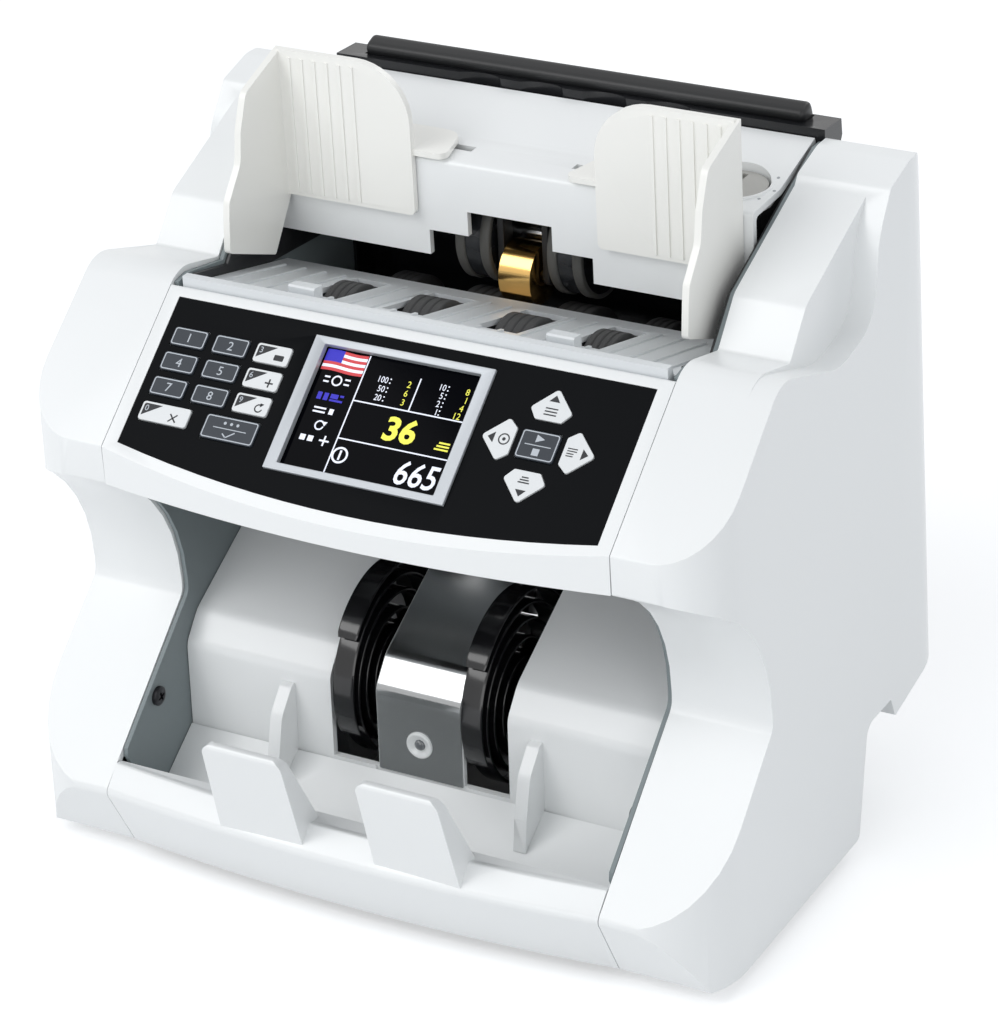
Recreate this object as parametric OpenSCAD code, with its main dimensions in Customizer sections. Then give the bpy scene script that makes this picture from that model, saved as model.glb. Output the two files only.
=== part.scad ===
// Banknote counting machine: front-stacking, friction fed, with a slanted control console.
// Millimetres. Seen from the front, +X is to the right, +Y is the rear and +Z is up.
// Side profiles are lists of [y, z, r]: the corner's place and its rounding radius.

/* [Body] */
// Half of the distance between the two side casings
seam_x = 93.5; // [90:0.5:97]
// Half of the outer width of the casings at the shoulder
side_x = 127.3; // [122:0.1:133]
// Outward slope of the casing sides towards the floor, degrees
side_draft = 1.2; // [0.5:0.1:2]
// Rearmost point of the casings
rear_y = 178.5; // [174:0.5:190]
// Top of the casings
top_z = 230.5; // [226:0.5:236]
// Wall of the casings
casing_wall = 2.6; // [2:0.2:3.4]
// Height of the rubber feet
foot_h = 5; // [4:0.5:8]
// Thickness of the steel side frame plates
plate_t = 1.6; // [1.2:0.2:2]

/* [Console] */
// Slope of the control console, degrees
console_tilt = 38.6; // [36:0.2:40]
// Height of the console's lower edge at the seams
console_z = 153.7; // [151:0.5:156]
// Depth of the console housing under its face
console_depth = 16; // [14:0.5:18]
// Wall of the console housing
console_wall = 2.2; // [1.8:0.2:2.6]
// Half width of the display's visible area
lcd_half_w = 28.8; // [26:0.2:30]
// Height of the display's visible area along the slope
lcd_h = 43.2; // [40:0.2:44]
// Travel of the keys
key_travel = 0.6; // [0.4:0.1:0.8]
// Width of a number key
key_w = 13; // [12:0.2:14]
// Height of a number key
key_h = 6.7; // [6:0.1:7.2]

/* [Tray] */
// Radius of the tray's and the chin's front in plan
tray_arc_r = 796; // [600:5:1200]
// Height of the crease along the tray's front
crease_z = 31.4; // [29:0.2:34]
// Width of one note paddle
paddle_w = 31; // [26:1:34]
// Height of the paddles' top edge
paddle_top_z = 69.5; // [64:0.5:74]
// Wall of the tray and the chute
tray_wall = 2.4; // [2:0.2:3]

/* [Feed and stacker] */
// Radius of the stacker wheels
wheel_r = 37; // [34:0.5:38]
// Number of curved fins on a stacker wheel
wheel_fins = 6; // [5:1:8]
// Width of a stacker wheel
wheel_w = 16; // [12:0.5:17]
// Radius of the shafts
shaft_r = 4; // [3:0.25:4.5]
// Radius of the lower feed rollers
feed_r = 21.5; // [20:0.1:21.6]
// Radius of the brass separator roller
brass_r = 10.5; // [9.5:0.1:10.6]
// Radius of the black separator rollers
separator_r = 18.5; // [16:0.5:19]
// Radius of the pickup rollers
pickup_r = 15; // [14.6:0.1:15.4]

/* [Hopper] */
// Distance from the middle to the outer panel of a note guide
guide_x = 84; // [80:0.5:85]
// Height of the top of the note guides
guide_top_z = 254; // [248:0.5:258]
// Thickness of the guide panels
guide_t = 2.4; // [2:0.2:2.8]
// How far a note guide slides inwards
guide_travel = 18; // [12:1:20]
// Front face of the top cover
cover_y = 115.5; // [115:0.5:117]

/* [Hidden] */
$fn = 48;

// Clearances
gap = 0.3;          // between pieces that lie side by side
fit = 0.05;         // radial, of a shaft that turns in its bush
press = 0.02;       // radial, of a roller or pulley fixed on its shaft

// Widths, from the outside in
plate_out = seam_x - gap;
plate_in = plate_out - plate_t;
cheek_t = 1.6;
cheek_in = plate_in - cheek_t;
bay_x = plate_in - gap;
hopper_x = cheek_in - gap;

// Side profile of the casings
foot = [0, foot_h];
crease = [-13.7, crease_z];
waist_y = 41.8;
waist_low_z = 80.8;
waist_high_z = 117.9;
waist_r = 56;
fascia_z = console_z - 13.8;
console_y = 4.4;
slope = tan(console_tilt);
function console_line(y) = console_z + slope * (y - console_y);
crest_y = 57.2;
crest_z = console_line(crest_y);
step_foot = [80.8, top_z - 40.8];
step_top = [93.3, top_z - 26.2];
rear_mid_z = 150;
block_rear_y = 156;
scoop_y = [99, 126, 131, 141];
skirt_y = [103, 112, 131, 134];
rear_top_y = rear_y - 13.5;
rear_low_y = rear_y - 6.5;
grip_z = 44;
scoop_x = side_x - 8.8;

// Places of the shafts: [y, z]
stacker_at = [72, 58];
pickup_at = [90, 168];
feed_at = [127, 149];
brass_at = [127, feed_at.y + feed_r + 0.5 + brass_r];
separator_at = [138.5, feed_at.y + 41.5];
motor_at = [132, 84];
hinge_at = [166, 66];
grip_at = [rear_top_y + 5.9, top_z + 3.1];

// Widths of the rollers: [inner, outer] on each side
wheel_x = [17.3, 17.3 + wheel_w];
roller_x = [11, 24];
side_roller_x = [44, 54];

// Middle of the whole depth, which the frame's origin stands under
paddle_front_y = -26;
mid_y = (paddle_front_y + rear_y) / 2;

// ---- helpers ----------------------------------------------------------------------------------

// Puts the machine's middle over the origin.
module placed() translate([0, -mid_y, 0]) children();

// Extrudes an outline given as (y, z) from x0 to x1.
module along_x(x0, x1) translate([x0, 0, 0]) rotate([90, 0, 90]) linear_extrude(x1 - x0) children();

// A rod along X through at = [y, z].
module rod(at, r, x0, x1) translate([x0, at.x, at.y]) rotate([0, 90, 0]) cylinder(r = r, h = x1 - x0);

// Draws its children on both sides of the machine.
module both_sides() {
  children();
  mirror([1, 0, 0]) children();
}

// Unit vector from a to b.
function unit(a, b) = let (d = [b.x - a.x, b.y - a.y]) d / norm(d);

// Points of an outline whose corners [x, y, r] are rounded with arcs of the given steps.
function rounded(p, steps = 6) = [
  for (i = [0 : len(p) - 1])
    let (
      b = p[i],
      u = unit(b, p[(i + len(p) - 1) % len(p)]),
      v = unit(b, p[(i + 1) % len(p)]),
      turn = acos(max(-1, min(1, u * v))),
      r = b.z,
      reach = r / tan(turn / 2),
      m = (u + v) / norm(u + v),
      c = [b.x, b.y] + m * r / sin(turn / 2),
      a = atan2(u.y * reach + b.y - c.y, u.x * reach + b.x - c.x),
      e = atan2(v.y * reach + b.y - c.y, v.x * reach + b.x - c.x),
      sweep = (e - a + 540) % 360 - 180
    )
      each r <= 0 ? [[b.x, b.y]] : [for (k = [0 : steps]) c + r * [cos(a + sweep * k / steps), sin(a + sweep * k / steps)]]
];

// The outline p moved inwards by d, for outlines whose corners run counterclockwise.
function inset(p, d) = [
  for (i = [0 : len(p) - 1])
    let (
      b = p[i],
      u = unit(p[(i + len(p) - 1) % len(p)], b),
      v = unit(b, p[(i + 1) % len(p)]),
      n = [-u.y, u.x],
      m = [-v.y, v.x],
      s = (n + m) / (1 + n * m),
      convex = u.x * v.y - u.y * v.x > 0
    )
      [b.x + s.x * d, b.y + s.y * d, b.z <= 0 ? 0 : max(0, b.z + (convex ? -d : d))]
];

function reversed(p) = [for (i = [len(p) - 1 : -1 : 0]) p[i]];

// An open line of corners moved sideways by d, to its left.
function shifted(p, d) = [
  for (i = [0 : len(p) - 1])
    let (
      last = len(p) - 1,
      u = unit(p[i == 0 ? 0 : i - 1], p[i == 0 ? 1 : i]),
      v = unit(p[i == last ? last - 1 : i], p[i == last ? last : i + 1]),
      n = [-u.y, u.x],
      m = [-v.y, v.x],
      s = (n + m) / (1 + n * m)
    )
      [p[i].x + s.x * d, p[i].y + s.y * d, p[i].z]
];

// The outline of a sheet of thickness t whose face lies d to the right of the line p.
function sheet(p, d, t) = rounded(concat(shifted(p, -d), reversed(shifted(p, -d - t))));

// Outline of a belt around two circles at p and q of radii a and b.
function belt_points(p, a, q, b, steps = 16) =
  let (
    d = norm(q - p),
    dir = atan2(q.y - p.y, q.x - p.x),
    lean = acos((a - b) / d)
  )
  concat(
    [for (k = [0 : steps]) let (t = dir + lean + (360 - 2 * lean) * k / steps) p + a * [cos(t), sin(t)]],
    [for (k = [0 : steps]) let (t = dir - lean + 2 * lean * k / steps) q + b * [cos(t), sin(t)]]
  );

// ---- side casings and frame -------------------------------------------------------------------

// Upper part of the profile, inside the scoop: the raised block beside the hopper.
block_top = [
  [step_foot.x, step_foot.y, 1.5],
  [step_top.x, step_top.y, 8],
  [block_rear_y, top_z, 10],
  [rear_top_y, top_z, 4]
];
// The same stretch further out, where the scoop is cut away.
scoop_top = [
  [scoop_y[0], top_z - 49.2, 30],
  [scoop_y[1], top_z - 44.5, 16],
  [scoop_y[2], top_z - 17.5, 25],
  [scoop_y[3], top_z - 4, 3],
  [block_rear_y, top_z, 10],
  [rear_top_y, top_z, 4]
];
// Casing profile, clockwise from the foot of the chin.
function casing_profile(top) = concat(
  [
    [foot.x, foot.y, 1.5],
    [crease.x, crease.y, 3],
    [waist_y, waist_low_z, 6],
    [waist_y, waist_high_z, waist_r],
    [console_y + 0.3, fascia_z, 1.5],
    [console_y, console_z, 1.2],
    [crest_y, crest_z, 14]
  ],
  top,
  [
    [rear_y, rear_mid_z, 150],
    [rear_low_y, grip_z, 3],
    [skirt_y[3], grip_z - 8, 1],
    [skirt_y[2], grip_z, 1],
    [skirt_y[1], grip_z, 6],
    [skirt_y[0], foot.y, 3]
  ]
);

// Plan outline of one casing, [x, y, r] counterclockwise, with the front at y0 and its corner radius.
function casing_plan(y0, corner_r) = [
  [seam_x - 8, y0, 0],
  [side_x, y0, corner_r],
  [side_x, rear_y, 20],
  [seam_x - 8, rear_y, 0]
];

shoulder_r = 21.7;
chin_r = 30;
split_z = 100;

// The space inside one casing's sides: leaning outwards towards the floor, d inside the surface.
module side_prism(d) {
  for (part = [[console_y, shoulder_r, split_z, top_z + 5], [crease.x, chin_r, -1, split_z]])
    intersection() {
      translate([side_x, 0, 175]) rotate([0, -side_draft, 0]) translate([-side_x, 0, -185])
        linear_extrude(260) polygon(rounded(inset(casing_plan(part[0], part[1]), d), 8));
      translate([0, -60, part[2]]) cube([200, 300, part[3] - part[2]]);
    }
}

screw_places = [[18.7, 52.4], [62, 150], [152, 120], [150, 62]];

module casing_body(d, x0) {
  intersection() {
    union() {
      along_x(x0, scoop_x - d) polygon(rounded(reversed(inset(reversed(casing_profile(block_top)), d))));
      along_x(x0, side_x + 8) polygon(rounded(reversed(inset(reversed(casing_profile(scoop_top)), d))));
    }
    side_prism(d);
  }
}

module side_casing() {
  difference() {
    union() {
      difference() {
        casing_body(0, seam_x);
        casing_body(casing_wall, seam_x - 1);
      }
      for (at = screw_places) rod(at, 4.5, plate_out, side_x + (175 - at.y) * tan(side_draft) - casing_wall / 2);
    }
    for (at = screw_places) rod(at, 1.3, plate_out - 1, plate_out + 16);
  }
}

module right_side_casing() placed() color("white") side_casing();
module left_side_casing() placed() color("white") mirror([1, 0, 0]) side_casing();

screw_head_h = 1.8;
module casing_screws() placed() color("silver") both_sides() for (at = screw_places) {
  rod(at, 3.4, plate_in - screw_head_h, plate_in);
  rod(at, 1.25, plate_in - 0.1, plate_out + 12);
}

plate_edge = 1;
door_split_y = rear_top_y - 2;
plate_profile = [
  [12, foot_h, 0],
  [10.2, 12.6, 0],
  [-1.6, 39.4, 0],
  [-1.2, 42.4, 0],
  [waist_y + plate_edge, waist_low_z, 6],
  [waist_y + plate_edge, waist_high_z, waist_r],
  [14.2, fascia_z - 0.6 - 4, 0],
  [console_y + console_depth / 2 + 1.2, fascia_z - 0.5, 0],
  [54, console_line(54) - console_depth / cos(console_tilt) - 0.6, 0],
  [54, crest_z - 4, 0],
  [crest_y + 3, crest_z - 3, 4],
  [step_foot.x, step_foot.y - plate_edge, 0],
  [step_top.x + 1, step_top.y - plate_edge, 0],
  [block_rear_y, top_z - plate_edge, 0],
  [door_split_y - gap, top_z - plate_edge, 2],
  [door_split_y - gap, hinge_at.y + 8, 0],
  [hinge_at.x + 6, hinge_at.y + 8, 2],
  [hinge_at.x + 6, hinge_at.y - 7, 2],
  [door_split_y + 2, hinge_at.y - 7, 0],
  [door_split_y + 2, foot_h, 0]
];
bearing_places = [stacker_at, pickup_at, feed_at, separator_at];
bearing_r = 6.5;

module frame_plate() difference() {
  along_x(plate_in, plate_out) polygon(rounded(plate_profile));
  for (at = bearing_places) rod(at, bearing_r + press, plate_in - 1, plate_out + 1);
  for (at = screw_places) rod(at, 1.7, plate_in - 1, plate_out + 1);
  rod(hinge_at, pin_r + fit, plate_in - 1, plate_out + 1);
  rod(motor_at, motor_nose_r, plate_in - 1, plate_out + 1);
}
module right_frame_plate() placed() color("slategray") frame_plate();
module left_frame_plate() placed() color("slategray") mirror([1, 0, 0]) frame_plate();

bush_flange = 1.2;
module shaft_bearings() placed() color("darkgoldenrod") both_sides() for (at = bearing_places)
  difference() {
    union() {
      rod(at, bearing_r, plate_in - bush_flange, plate_out + 0.4);
      rod(at, bearing_r + 2, plate_in - bush_flange, plate_in);
    }
    rod(at, shaft_r + fit, plate_in - bush_flange - 1, plate_out + 2);
  }

base_t = 2;
base_front_y = 13;
panel_y = rear_low_y - 4;
panel_top_z = 55;
inlet_size = [28, 20];
inlet_at = [-62, 30];
rocker_size = [14, 20];
rocker_at = [-34, 30];
port_at = [30, 28];

module base_plate() placed() color("gray") {
  translate([-bay_x, base_front_y, foot_h]) cube([2 * bay_x, panel_y - base_front_y + base_t, base_t]);
  difference() {
    translate([-bay_x, panel_y, foot_h]) cube([2 * bay_x, base_t, panel_top_z - foot_h]);
    for (w = [[inlet_at, inlet_size], [rocker_at, rocker_size]])
      translate([w[0].x - w[1].x / 2, panel_y - 1, w[0].y - w[1].y / 2]) cube([w[1].x, base_t + 2, w[1].y]);
    translate([port_at.x, panel_y - 1, port_at.y]) rotate([-90, 0, 0]) cylinder(r = 4.5, h = base_t + 2);
  }
}

foot_r = 8;
module rubber_feet() placed() color("black") both_sides() for (y = [base_front_y + 12, panel_y - 14])
  translate([bay_x - 14, y, 0]) cylinder(r = foot_r, h = foot_h);

// ---- tray and chute ---------------------------------------------------------------------------

axis_y = crease.x + sqrt(tray_arc_r * tray_arc_r - seam_x * seam_x);
function arc_r(y) = sqrt((axis_y - y) * (axis_y - y) + seam_x * seam_x);

lip_top = [-6, crease_z + 7.6];
tray_bottom = [8, 12.5];
lip_profile = [
  [foot.x, foot.y, 1],
  [tray_bottom.x + 1.5, foot.y, 0],
  [tray_bottom.x, tray_bottom.y, 2],
  [lip_top.x + 2.8, lip_top.y - 0.6, 1],
  [lip_top.x, lip_top.y, 1.2],
  [crease.x, crease.y, 3]
];
// An outline [y, z, r] at the seam, swept along the arc of the tray's front.
module along_arc(p) translate([0, axis_y, 0]) rotate([0, 0, 180 + 90 - 14]) rotate_extrude(angle = 28, $fn = 360)
  polygon([for (q = rounded(p)) [arc_r(q.x), q.y]]);

module lip_solid() intersection() {
  along_arc(lip_profile);
  translate([-plate_out, -60, 0]) cube([2 * plate_out, 90, 60]);
}

floor_rear = [36.6, 32];
floor_slope = (floor_rear.y - tray_bottom.y) / (floor_rear.x - tray_bottom.x);
paddle_x = 29.5;
paddle_profile = [
  [4.5, tray_bottom.y + 6, 0],
  [-22.3, paddle_top_z, 1.5],
  [paddle_front_y, paddle_top_z, 1.5],
  [-16.2, 31, 0],
  [-10, 27, 0]
];
module front_tray() placed() color("white") {
  difference() {
    lip_solid();
    intersection() {
      along_arc([for (q = inset(lip_profile, tray_wall)) [q.x, q.y < foot.y + 4 ? q.y - 6 : q.y, q.z]]);
      translate([-plate_out + tray_wall, -60, -1]) cube([2 * (plate_out - tray_wall), 90, 60]);
    }
  }
  // The straight inner face of the lip, behind its curved front.
  intersection() {
    along_x(-plate_out, plate_out) polygon([
      [lip_top.x - 8, lip_top.y - 0.7],
      [lip_top.x + 2.8, lip_top.y - 0.7],
      [tray_bottom.x, tray_bottom.y],
      [tray_bottom.x - 8, tray_bottom.y]
    ]);
    along_arc([
      [foot.x + 2, foot.y + 1, 0],
      [30, foot.y + 1, 0],
      [30, lip_top.y, 0],
      [lip_top.x + 0.3, lip_top.y, 1.2],
      [crease.x + 0.6, crease.y, 0]
    ]);
  }
  along_x(-bay_x, bay_x) polygon([
    [tray_bottom.x - 1, tray_bottom.y - floor_slope],
    [floor_rear.x, floor_rear.y],
    [floor_rear.x, floor_rear.y - tray_wall],
    [tray_bottom.x + 1.2, tray_bottom.y - tray_wall + floor_slope]
  ]);
  both_sides() difference() {
    intersection() {
      along_x(paddle_x - paddle_w / 2 - 1, paddle_x + paddle_w / 2 + 1) polygon(rounded(paddle_profile));
      translate([0, -40, 0]) rotate([-90, 0, 0]) linear_extrude(80) polygon(rounded([
        [paddle_x - paddle_w / 2 - 0.5, -20, 0],
        [paddle_x + paddle_w / 2 + 1, -20, 0],
        [paddle_x + paddle_w / 2 - 1, -paddle_top_z, 4],
        [paddle_x - paddle_w / 2, -paddle_top_z, 4]
      ]));
    }
    lip_core();
  }
}
// The hollow of the lip, kept clear of the paddles' roots.
module lip_core() along_arc(inset(lip_profile, tray_wall));

chute_low = [floor_rear.x + 0.5, floor_rear.y - 3];
chute_bend = [38.4, 63];
chute_shelf = [46.2, 72.4];
chute_top = [96, 99.5];
chute_points = [
  [chute_low.x, chute_low.y, 0],
  [chute_bend.x, chute_bend.y, 7],
  [chute_shelf.x, chute_shelf.y, 12],
  [chute_top.x, chute_top.y, 0]
];
slot_x = [wheel_x[0] - 0.8, wheel_x[1] + 0.8];
slot_end_y = stacker_at.x + 18;
stop_x = [-slot_x[1] - 16.4, slot_x[1] + 10.8];
stop_t = 4.6;
chrome_t = 0.6;
lens_z = 45;
lens_r = 4.9;
module chute_cover() placed() color("white") {
  difference() {
    along_x(-bay_x, bay_x) polygon(sheet(chute_points, 0, tray_wall));
    both_sides() translate([slot_x[0], 20, chute_low.y + 4]) cube([slot_x[1] - slot_x[0], slot_end_y - 20, 100]);
    along_x(-slot_x[0] - 1, slot_x[0] + 1) polygon(sheet(chute_points, -2, chrome_t + 2));
    translate([0, 20, lens_z]) rotate([-90, 0, 0]) cylinder(r = lens_r + press, h = 40);
  }
  for (x = stop_x) along_x(x - stop_t / 2, x + stop_t / 2) polygon(rounded([
    [38.5, floor_rear.y + 1.2, 0],
    [38.5, 58.2, 1],
    [35.6, 56.8, 3],
    [28.6, 49, 8],
    [24.9, 35, 10],
    [23, 23.2, 0]
  ]));
}

module chrome_plate() placed() color("silver") difference() {
  along_x(0.4 - slot_x[0], slot_x[0] - 0.4) polygon(sheet(chute_points, 0, chrome_t));
  translate([0, 20, lens_z]) rotate([-90, 0, 0]) cylinder(r = lens_r + press, h = 40);
  translate([-40, 20, 0]) cube([80, 40, chute_low.y + 3.5]);
}

module tray_sensor_lens() placed() color("lightgray") translate([0, 0, lens_z]) rotate([-90, 0, 0]) {
  difference() {
    translate([0, 0, chute_low.x - 0.3]) cylinder(r = lens_r, h = chrome_t + 0.9);
    translate([0, 0, chute_low.x - 1]) cylinder(r = 2.4, h = 1.4);
  }
}

// ---- console ----------------------------------------------------------------------------------

// Works on the console's face: x across, y up the slope, z out of it.
module on_console() translate([0, console_y, console_z]) rotate([console_tilt, 0, 0]) children();

face_top_v = 62.5;
console_arc_r = 550;
console_sagitta = 8;
face_rear_y = console_y + face_top_v * cos(console_tilt);
under_z = console_line(console_y) - console_depth / cos(console_tilt);
console_profile = [
  [-12, fascia_z, 0],
  [console_y + (fascia_z - under_z) / slope, fascia_z, 1],
  [face_rear_y, console_line(face_rear_y) - console_depth / cos(console_tilt), 1],
  [face_rear_y, console_line(face_rear_y), 1.2],
  [-12, console_line(-12), 0]
];
module console_front(d) translate([0, console_y + console_arc_r - console_sagitta, 0])
  cylinder(r = console_arc_r - d, h = 400, $fn = 360);

overlay_t = 0.5;
overlay_x = seam_x - 5.3;
overlay_v = [2.7, 57];
overlay_sag = 8.2;
// Outline of the black overlay on the console's face, d inside its edge.
module overlay_outline(d) {
  w = overlay_x - d;
  r = (overlay_x * overlay_x + overlay_sag * overlay_sag) / (2 * overlay_sag);
  polygon(concat(
    [for (k = [0 : 16]) let (x = -w + 2 * w * k / 16)
      [x, overlay_v[0] + overlay_sag + d - overlay_sag * 2 + r - sqrt(r * r - x * x)]],
    [[w, overlay_v[1] - d], [-w, overlay_v[1] - d]]
  ));
}

screen_v = [7.1, 7.1 + lcd_h];
bezel_edge = 4.4;
bezel_low = 2.6;
// The bezel's outer rectangle, grown by d.
module bezel_outline(d) translate([-lcd_half_w - bezel_edge - d, screen_v[0] - bezel_low - d])
  square([2 * (lcd_half_w + bezel_edge + d), lcd_h + bezel_low * 2 + 2 * d]);

// Keys: [across, up the slope] of their centres on the console's face.
key_column = 16;
key_row = 9.2;
key_7_at = [-78, 24.7];
cursor_at = [56.7, 30.5];
cursor_step = 12.9;
function number_key_at(column, row) = key_7_at + [column * key_column, row * key_row];
module key_shape(w, h) polygon(rounded([
  [-w / 2, -h / 2, 1],
  [w / 2, -h / 2, 1],
  [w / 2, h / 2, 1],
  [-w / 2, h / 2, 1]
], 3));
cursor_r = 7.4;
module cursor_key_shape() polygon(rounded([
  [-4.6, -4.6 + 0.6, 0.8],
  [4.6, -4.6 + 0.6, 0.8],
  [cursor_r, -0.4, 1],
  [0, cursor_r - 0.2, 1.2],
  [-cursor_r, -0.4, 1]
], 3));
key_top = 0.5;
key_low = console_wall + 2.2;
key_flange = [0.8, 1];
board_t = 1.6;
key_gap = key_travel + 0.2;
// A key through the overlay: its cap is the first child, its flange under the wall the second.
module key_body(at) on_console() translate([at.x, at.y, -key_low]) {
  linear_extrude(key_low + key_top) children(0);
  linear_extrude(key_flange[1]) children(1);
}

cursor_turns = [["up", 0], ["left", 90], ["down", 180], ["right", 270]];
function cursor_at_turn(a) = cursor_at + cursor_step * [-sin(a), cos(a)];
zero_w = 18.4;
enter_size = [20, 8.6];
start_size = [13.6, 10];
zero_at = [key_7_at.x + 2.6, key_7_at.y - key_row - 0.2];
enter_step = 28;
enter_at = [key_7_at.x + enter_step, key_7_at.y - key_row - 0.9];

number_size = [key_w, key_h];
zero_size = [zero_w, key_h];

module cursor_key_grown(d) scale((cursor_r + d) / cursor_r) cursor_key_shape();
module all_key_holes(d) {
  for (c = [0 : 2], r = [0 : 2]) translate(number_key_at(c, r)) key_shape(key_w + 2 * d, key_h + 2 * d);
  translate(zero_at) key_shape(zero_w + 2 * d, key_h + 2 * d);
  translate(enter_at) key_shape(enter_size.x + 2 * d, enter_size.y + 2 * d);
  translate(cursor_at) key_shape(start_size.x + 2 * d, start_size.y + 2 * d);
  for (t = cursor_turns) translate(cursor_at_turn(t[1])) rotate(t[1]) cursor_key_grown(d);
}

// A key with a four-cornered cap of the given size.
module flat_key(at, size, tint) placed() color(tint) key_body(at) {
  key_shape(size.x, size.y);
  key_shape(size.x + 2 * key_flange[0], size.y + 2 * key_flange[0]);
}
module key_1() flat_key(number_key_at(0, 2), number_size, "darkslategray");
module key_2() flat_key(number_key_at(1, 2), number_size, "darkslategray");
module key_3() flat_key(number_key_at(2, 2), number_size, "white");
module key_4() flat_key(number_key_at(0, 1), number_size, "darkslategray");
module key_5() flat_key(number_key_at(1, 1), number_size, "darkslategray");
module key_6() flat_key(number_key_at(2, 1), number_size, "white");
module key_7() flat_key(number_key_at(0, 0), number_size, "darkslategray");
module key_8() flat_key(number_key_at(1, 0), number_size, "darkslategray");
module key_9() flat_key(number_key_at(2, 0), number_size, "white");
module key_0() flat_key(zero_at, zero_size, "white");
module key_enter() flat_key(enter_at, enter_size, "darkslategray");
module key_start() flat_key(cursor_at, start_size, "darkslategray");
module cursor_key(t) placed() color("white") key_body(cursor_at_turn(t)) {
  rotate(t) cursor_key_shape();
  rotate(t) cursor_key_grown(key_flange[0]);
}
module key_up() cursor_key(0);
module key_left() cursor_key(90);
module key_down() cursor_key(180);
module key_right() cursor_key(270);

post_x = [-seam_x + 5.9, -lcd_half_w - 7.8, lcd_half_w + 7.8, seam_x - 11];
post_v = [12, 50];
module console_housing() placed() color("white") {
  difference() {
    intersection() {
      along_x(-plate_out, plate_out) polygon(rounded(console_profile));
      console_front(0);
    }
    intersection() {
      along_x(console_wall - plate_out, plate_out - console_wall) polygon(rounded(
        [for (q = inset(console_profile, console_wall)) [q.x, q.y, 0]]));
      console_front(console_wall);
    }
    // The underside is open between the walls.
    along_x(console_wall - plate_out, plate_out - console_wall) polygon([
      [console_profile[1].x + 1.5, fascia_z + console_wall + 0.4],
      [console_profile[1].x + 4, fascia_z - 3],
      [face_rear_y - console_wall + 3, console_profile[2].y - 3],
      [face_rear_y - console_wall - 0.5, console_profile[2].y + 4]
    ]);
    on_console() {
      translate([0, 0, -overlay_t - 0.02]) linear_extrude(4) overlay_outline(-0.15);
      translate([0, 0, -6]) linear_extrude(8) bezel_outline(0.1);
      translate([0, 0, -6]) linear_extrude(8) all_key_holes(gap);
    }
  }
  // Posts that carry the keypad board and the display.
  on_console() for (x = post_x, v = post_v) translate([x, v, -key_low - key_gap])
    cylinder(r = 1.6, h = key_low + key_gap - overlay_t - 0.5);
}

module panel_overlay() placed() color("black") on_console() translate([0, 0, -overlay_t])
  linear_extrude(overlay_t) difference() {
    overlay_outline(0);
    bezel_outline(0.1);
    all_key_holes(gap);
  }

bezel_t = 0.9;
module display_bezel() placed() color("silver") on_console() translate([0, 0, -1.4]) linear_extrude(1.4 + bezel_t)
  difference() {
    bezel_outline(0);
    translate([-lcd_half_w, screen_v[0]]) square([2 * lcd_half_w, lcd_h]);
  }

display_t = 4;
module display_module() placed() color("dimgray") on_console() translate([0, 0, -1.4 - display_t])
  linear_extrude(display_t) bezel_outline(0);

module keypad_board() placed() color("darkgreen") on_console()
  for (span = [[post_x[0] - 2.4, -lcd_half_w - bezel_edge - 1.2], [lcd_half_w + bezel_edge + 1.2, post_x[3] + 2.4]])
    translate([span[0], 3.5, -key_low - key_gap - board_t]) cube([span[1] - span[0], 50, board_t]);

// ---- hopper and top cover ---------------------------------------------------------------------

floor_t = 2;
floor_front_y = face_rear_y + 0.4;
hopper_fall = 0.262;
hopper_floor_at = [57, 190.5];
function floor_line(y) = hopper_floor_at.y - hopper_fall * (y - hopper_floor_at.x);
floor_end_y = 117;
floor_rib = 0.7;
floor_rib_span = 84;
floor_rib_step = 8;
floor_rib_end = 106;
roller_gap = 1.2;
note_block = [43, 53];
note_block_z = 195;
roller_window = [34, 40];
module hopper_floor() placed() color("lightgray") difference() {
  union() {
    along_x(-hopper_x, hopper_x) polygon([
      [floor_front_y, floor_line(floor_front_y) - floor_t],
      [floor_end_y, floor_line(floor_end_y) - floor_t],
      [floor_end_y, floor_line(floor_end_y)],
      [floor_front_y + 4, floor_line(floor_front_y + 4)],
      [floor_front_y + 3, crest_z - 1.4],
      [floor_front_y, crest_z - 1.4]
    ]);
    for (x = [-floor_rib_span : floor_rib_step : floor_rib_span]) along_x(x - 0.6, x + 0.6) polygon([
      [floor_front_y + 3.2, floor_line(floor_front_y + 3.2) - 0.5],
      [floor_rib_end + 2, floor_line(floor_rib_end + 2) - 0.5],
      [floor_rib_end, floor_line(floor_rib_end) + floor_rib],
      [floor_front_y + 3.2, floor_line(floor_front_y + 3.2) + floor_rib]
    ]);
    // Blocks that the notes' front edge leans on.
    both_sides() along_x(note_block[0], note_block[1]) polygon([
      [floor_front_y + 7, floor_line(floor_front_y + 7) - 1],
      [floor_front_y + 12, floor_line(floor_front_y + 12) - 1],
      [floor_front_y + 12, note_block_z - 0.6],
      [floor_front_y + 7.6, note_block_z],
      [floor_front_y + 7, note_block_z - 0.6]
    ]);
  }
  both_sides() for (span = [roller_x, side_roller_x])
    translate([span[0] - roller_gap, pickup_at.x - roller_window[0] / 2, pickup_at.y - 8])
      cube([span[1] - span[0] + 2 * roller_gap, roller_window[0], roller_window[1]]);
}

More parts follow.
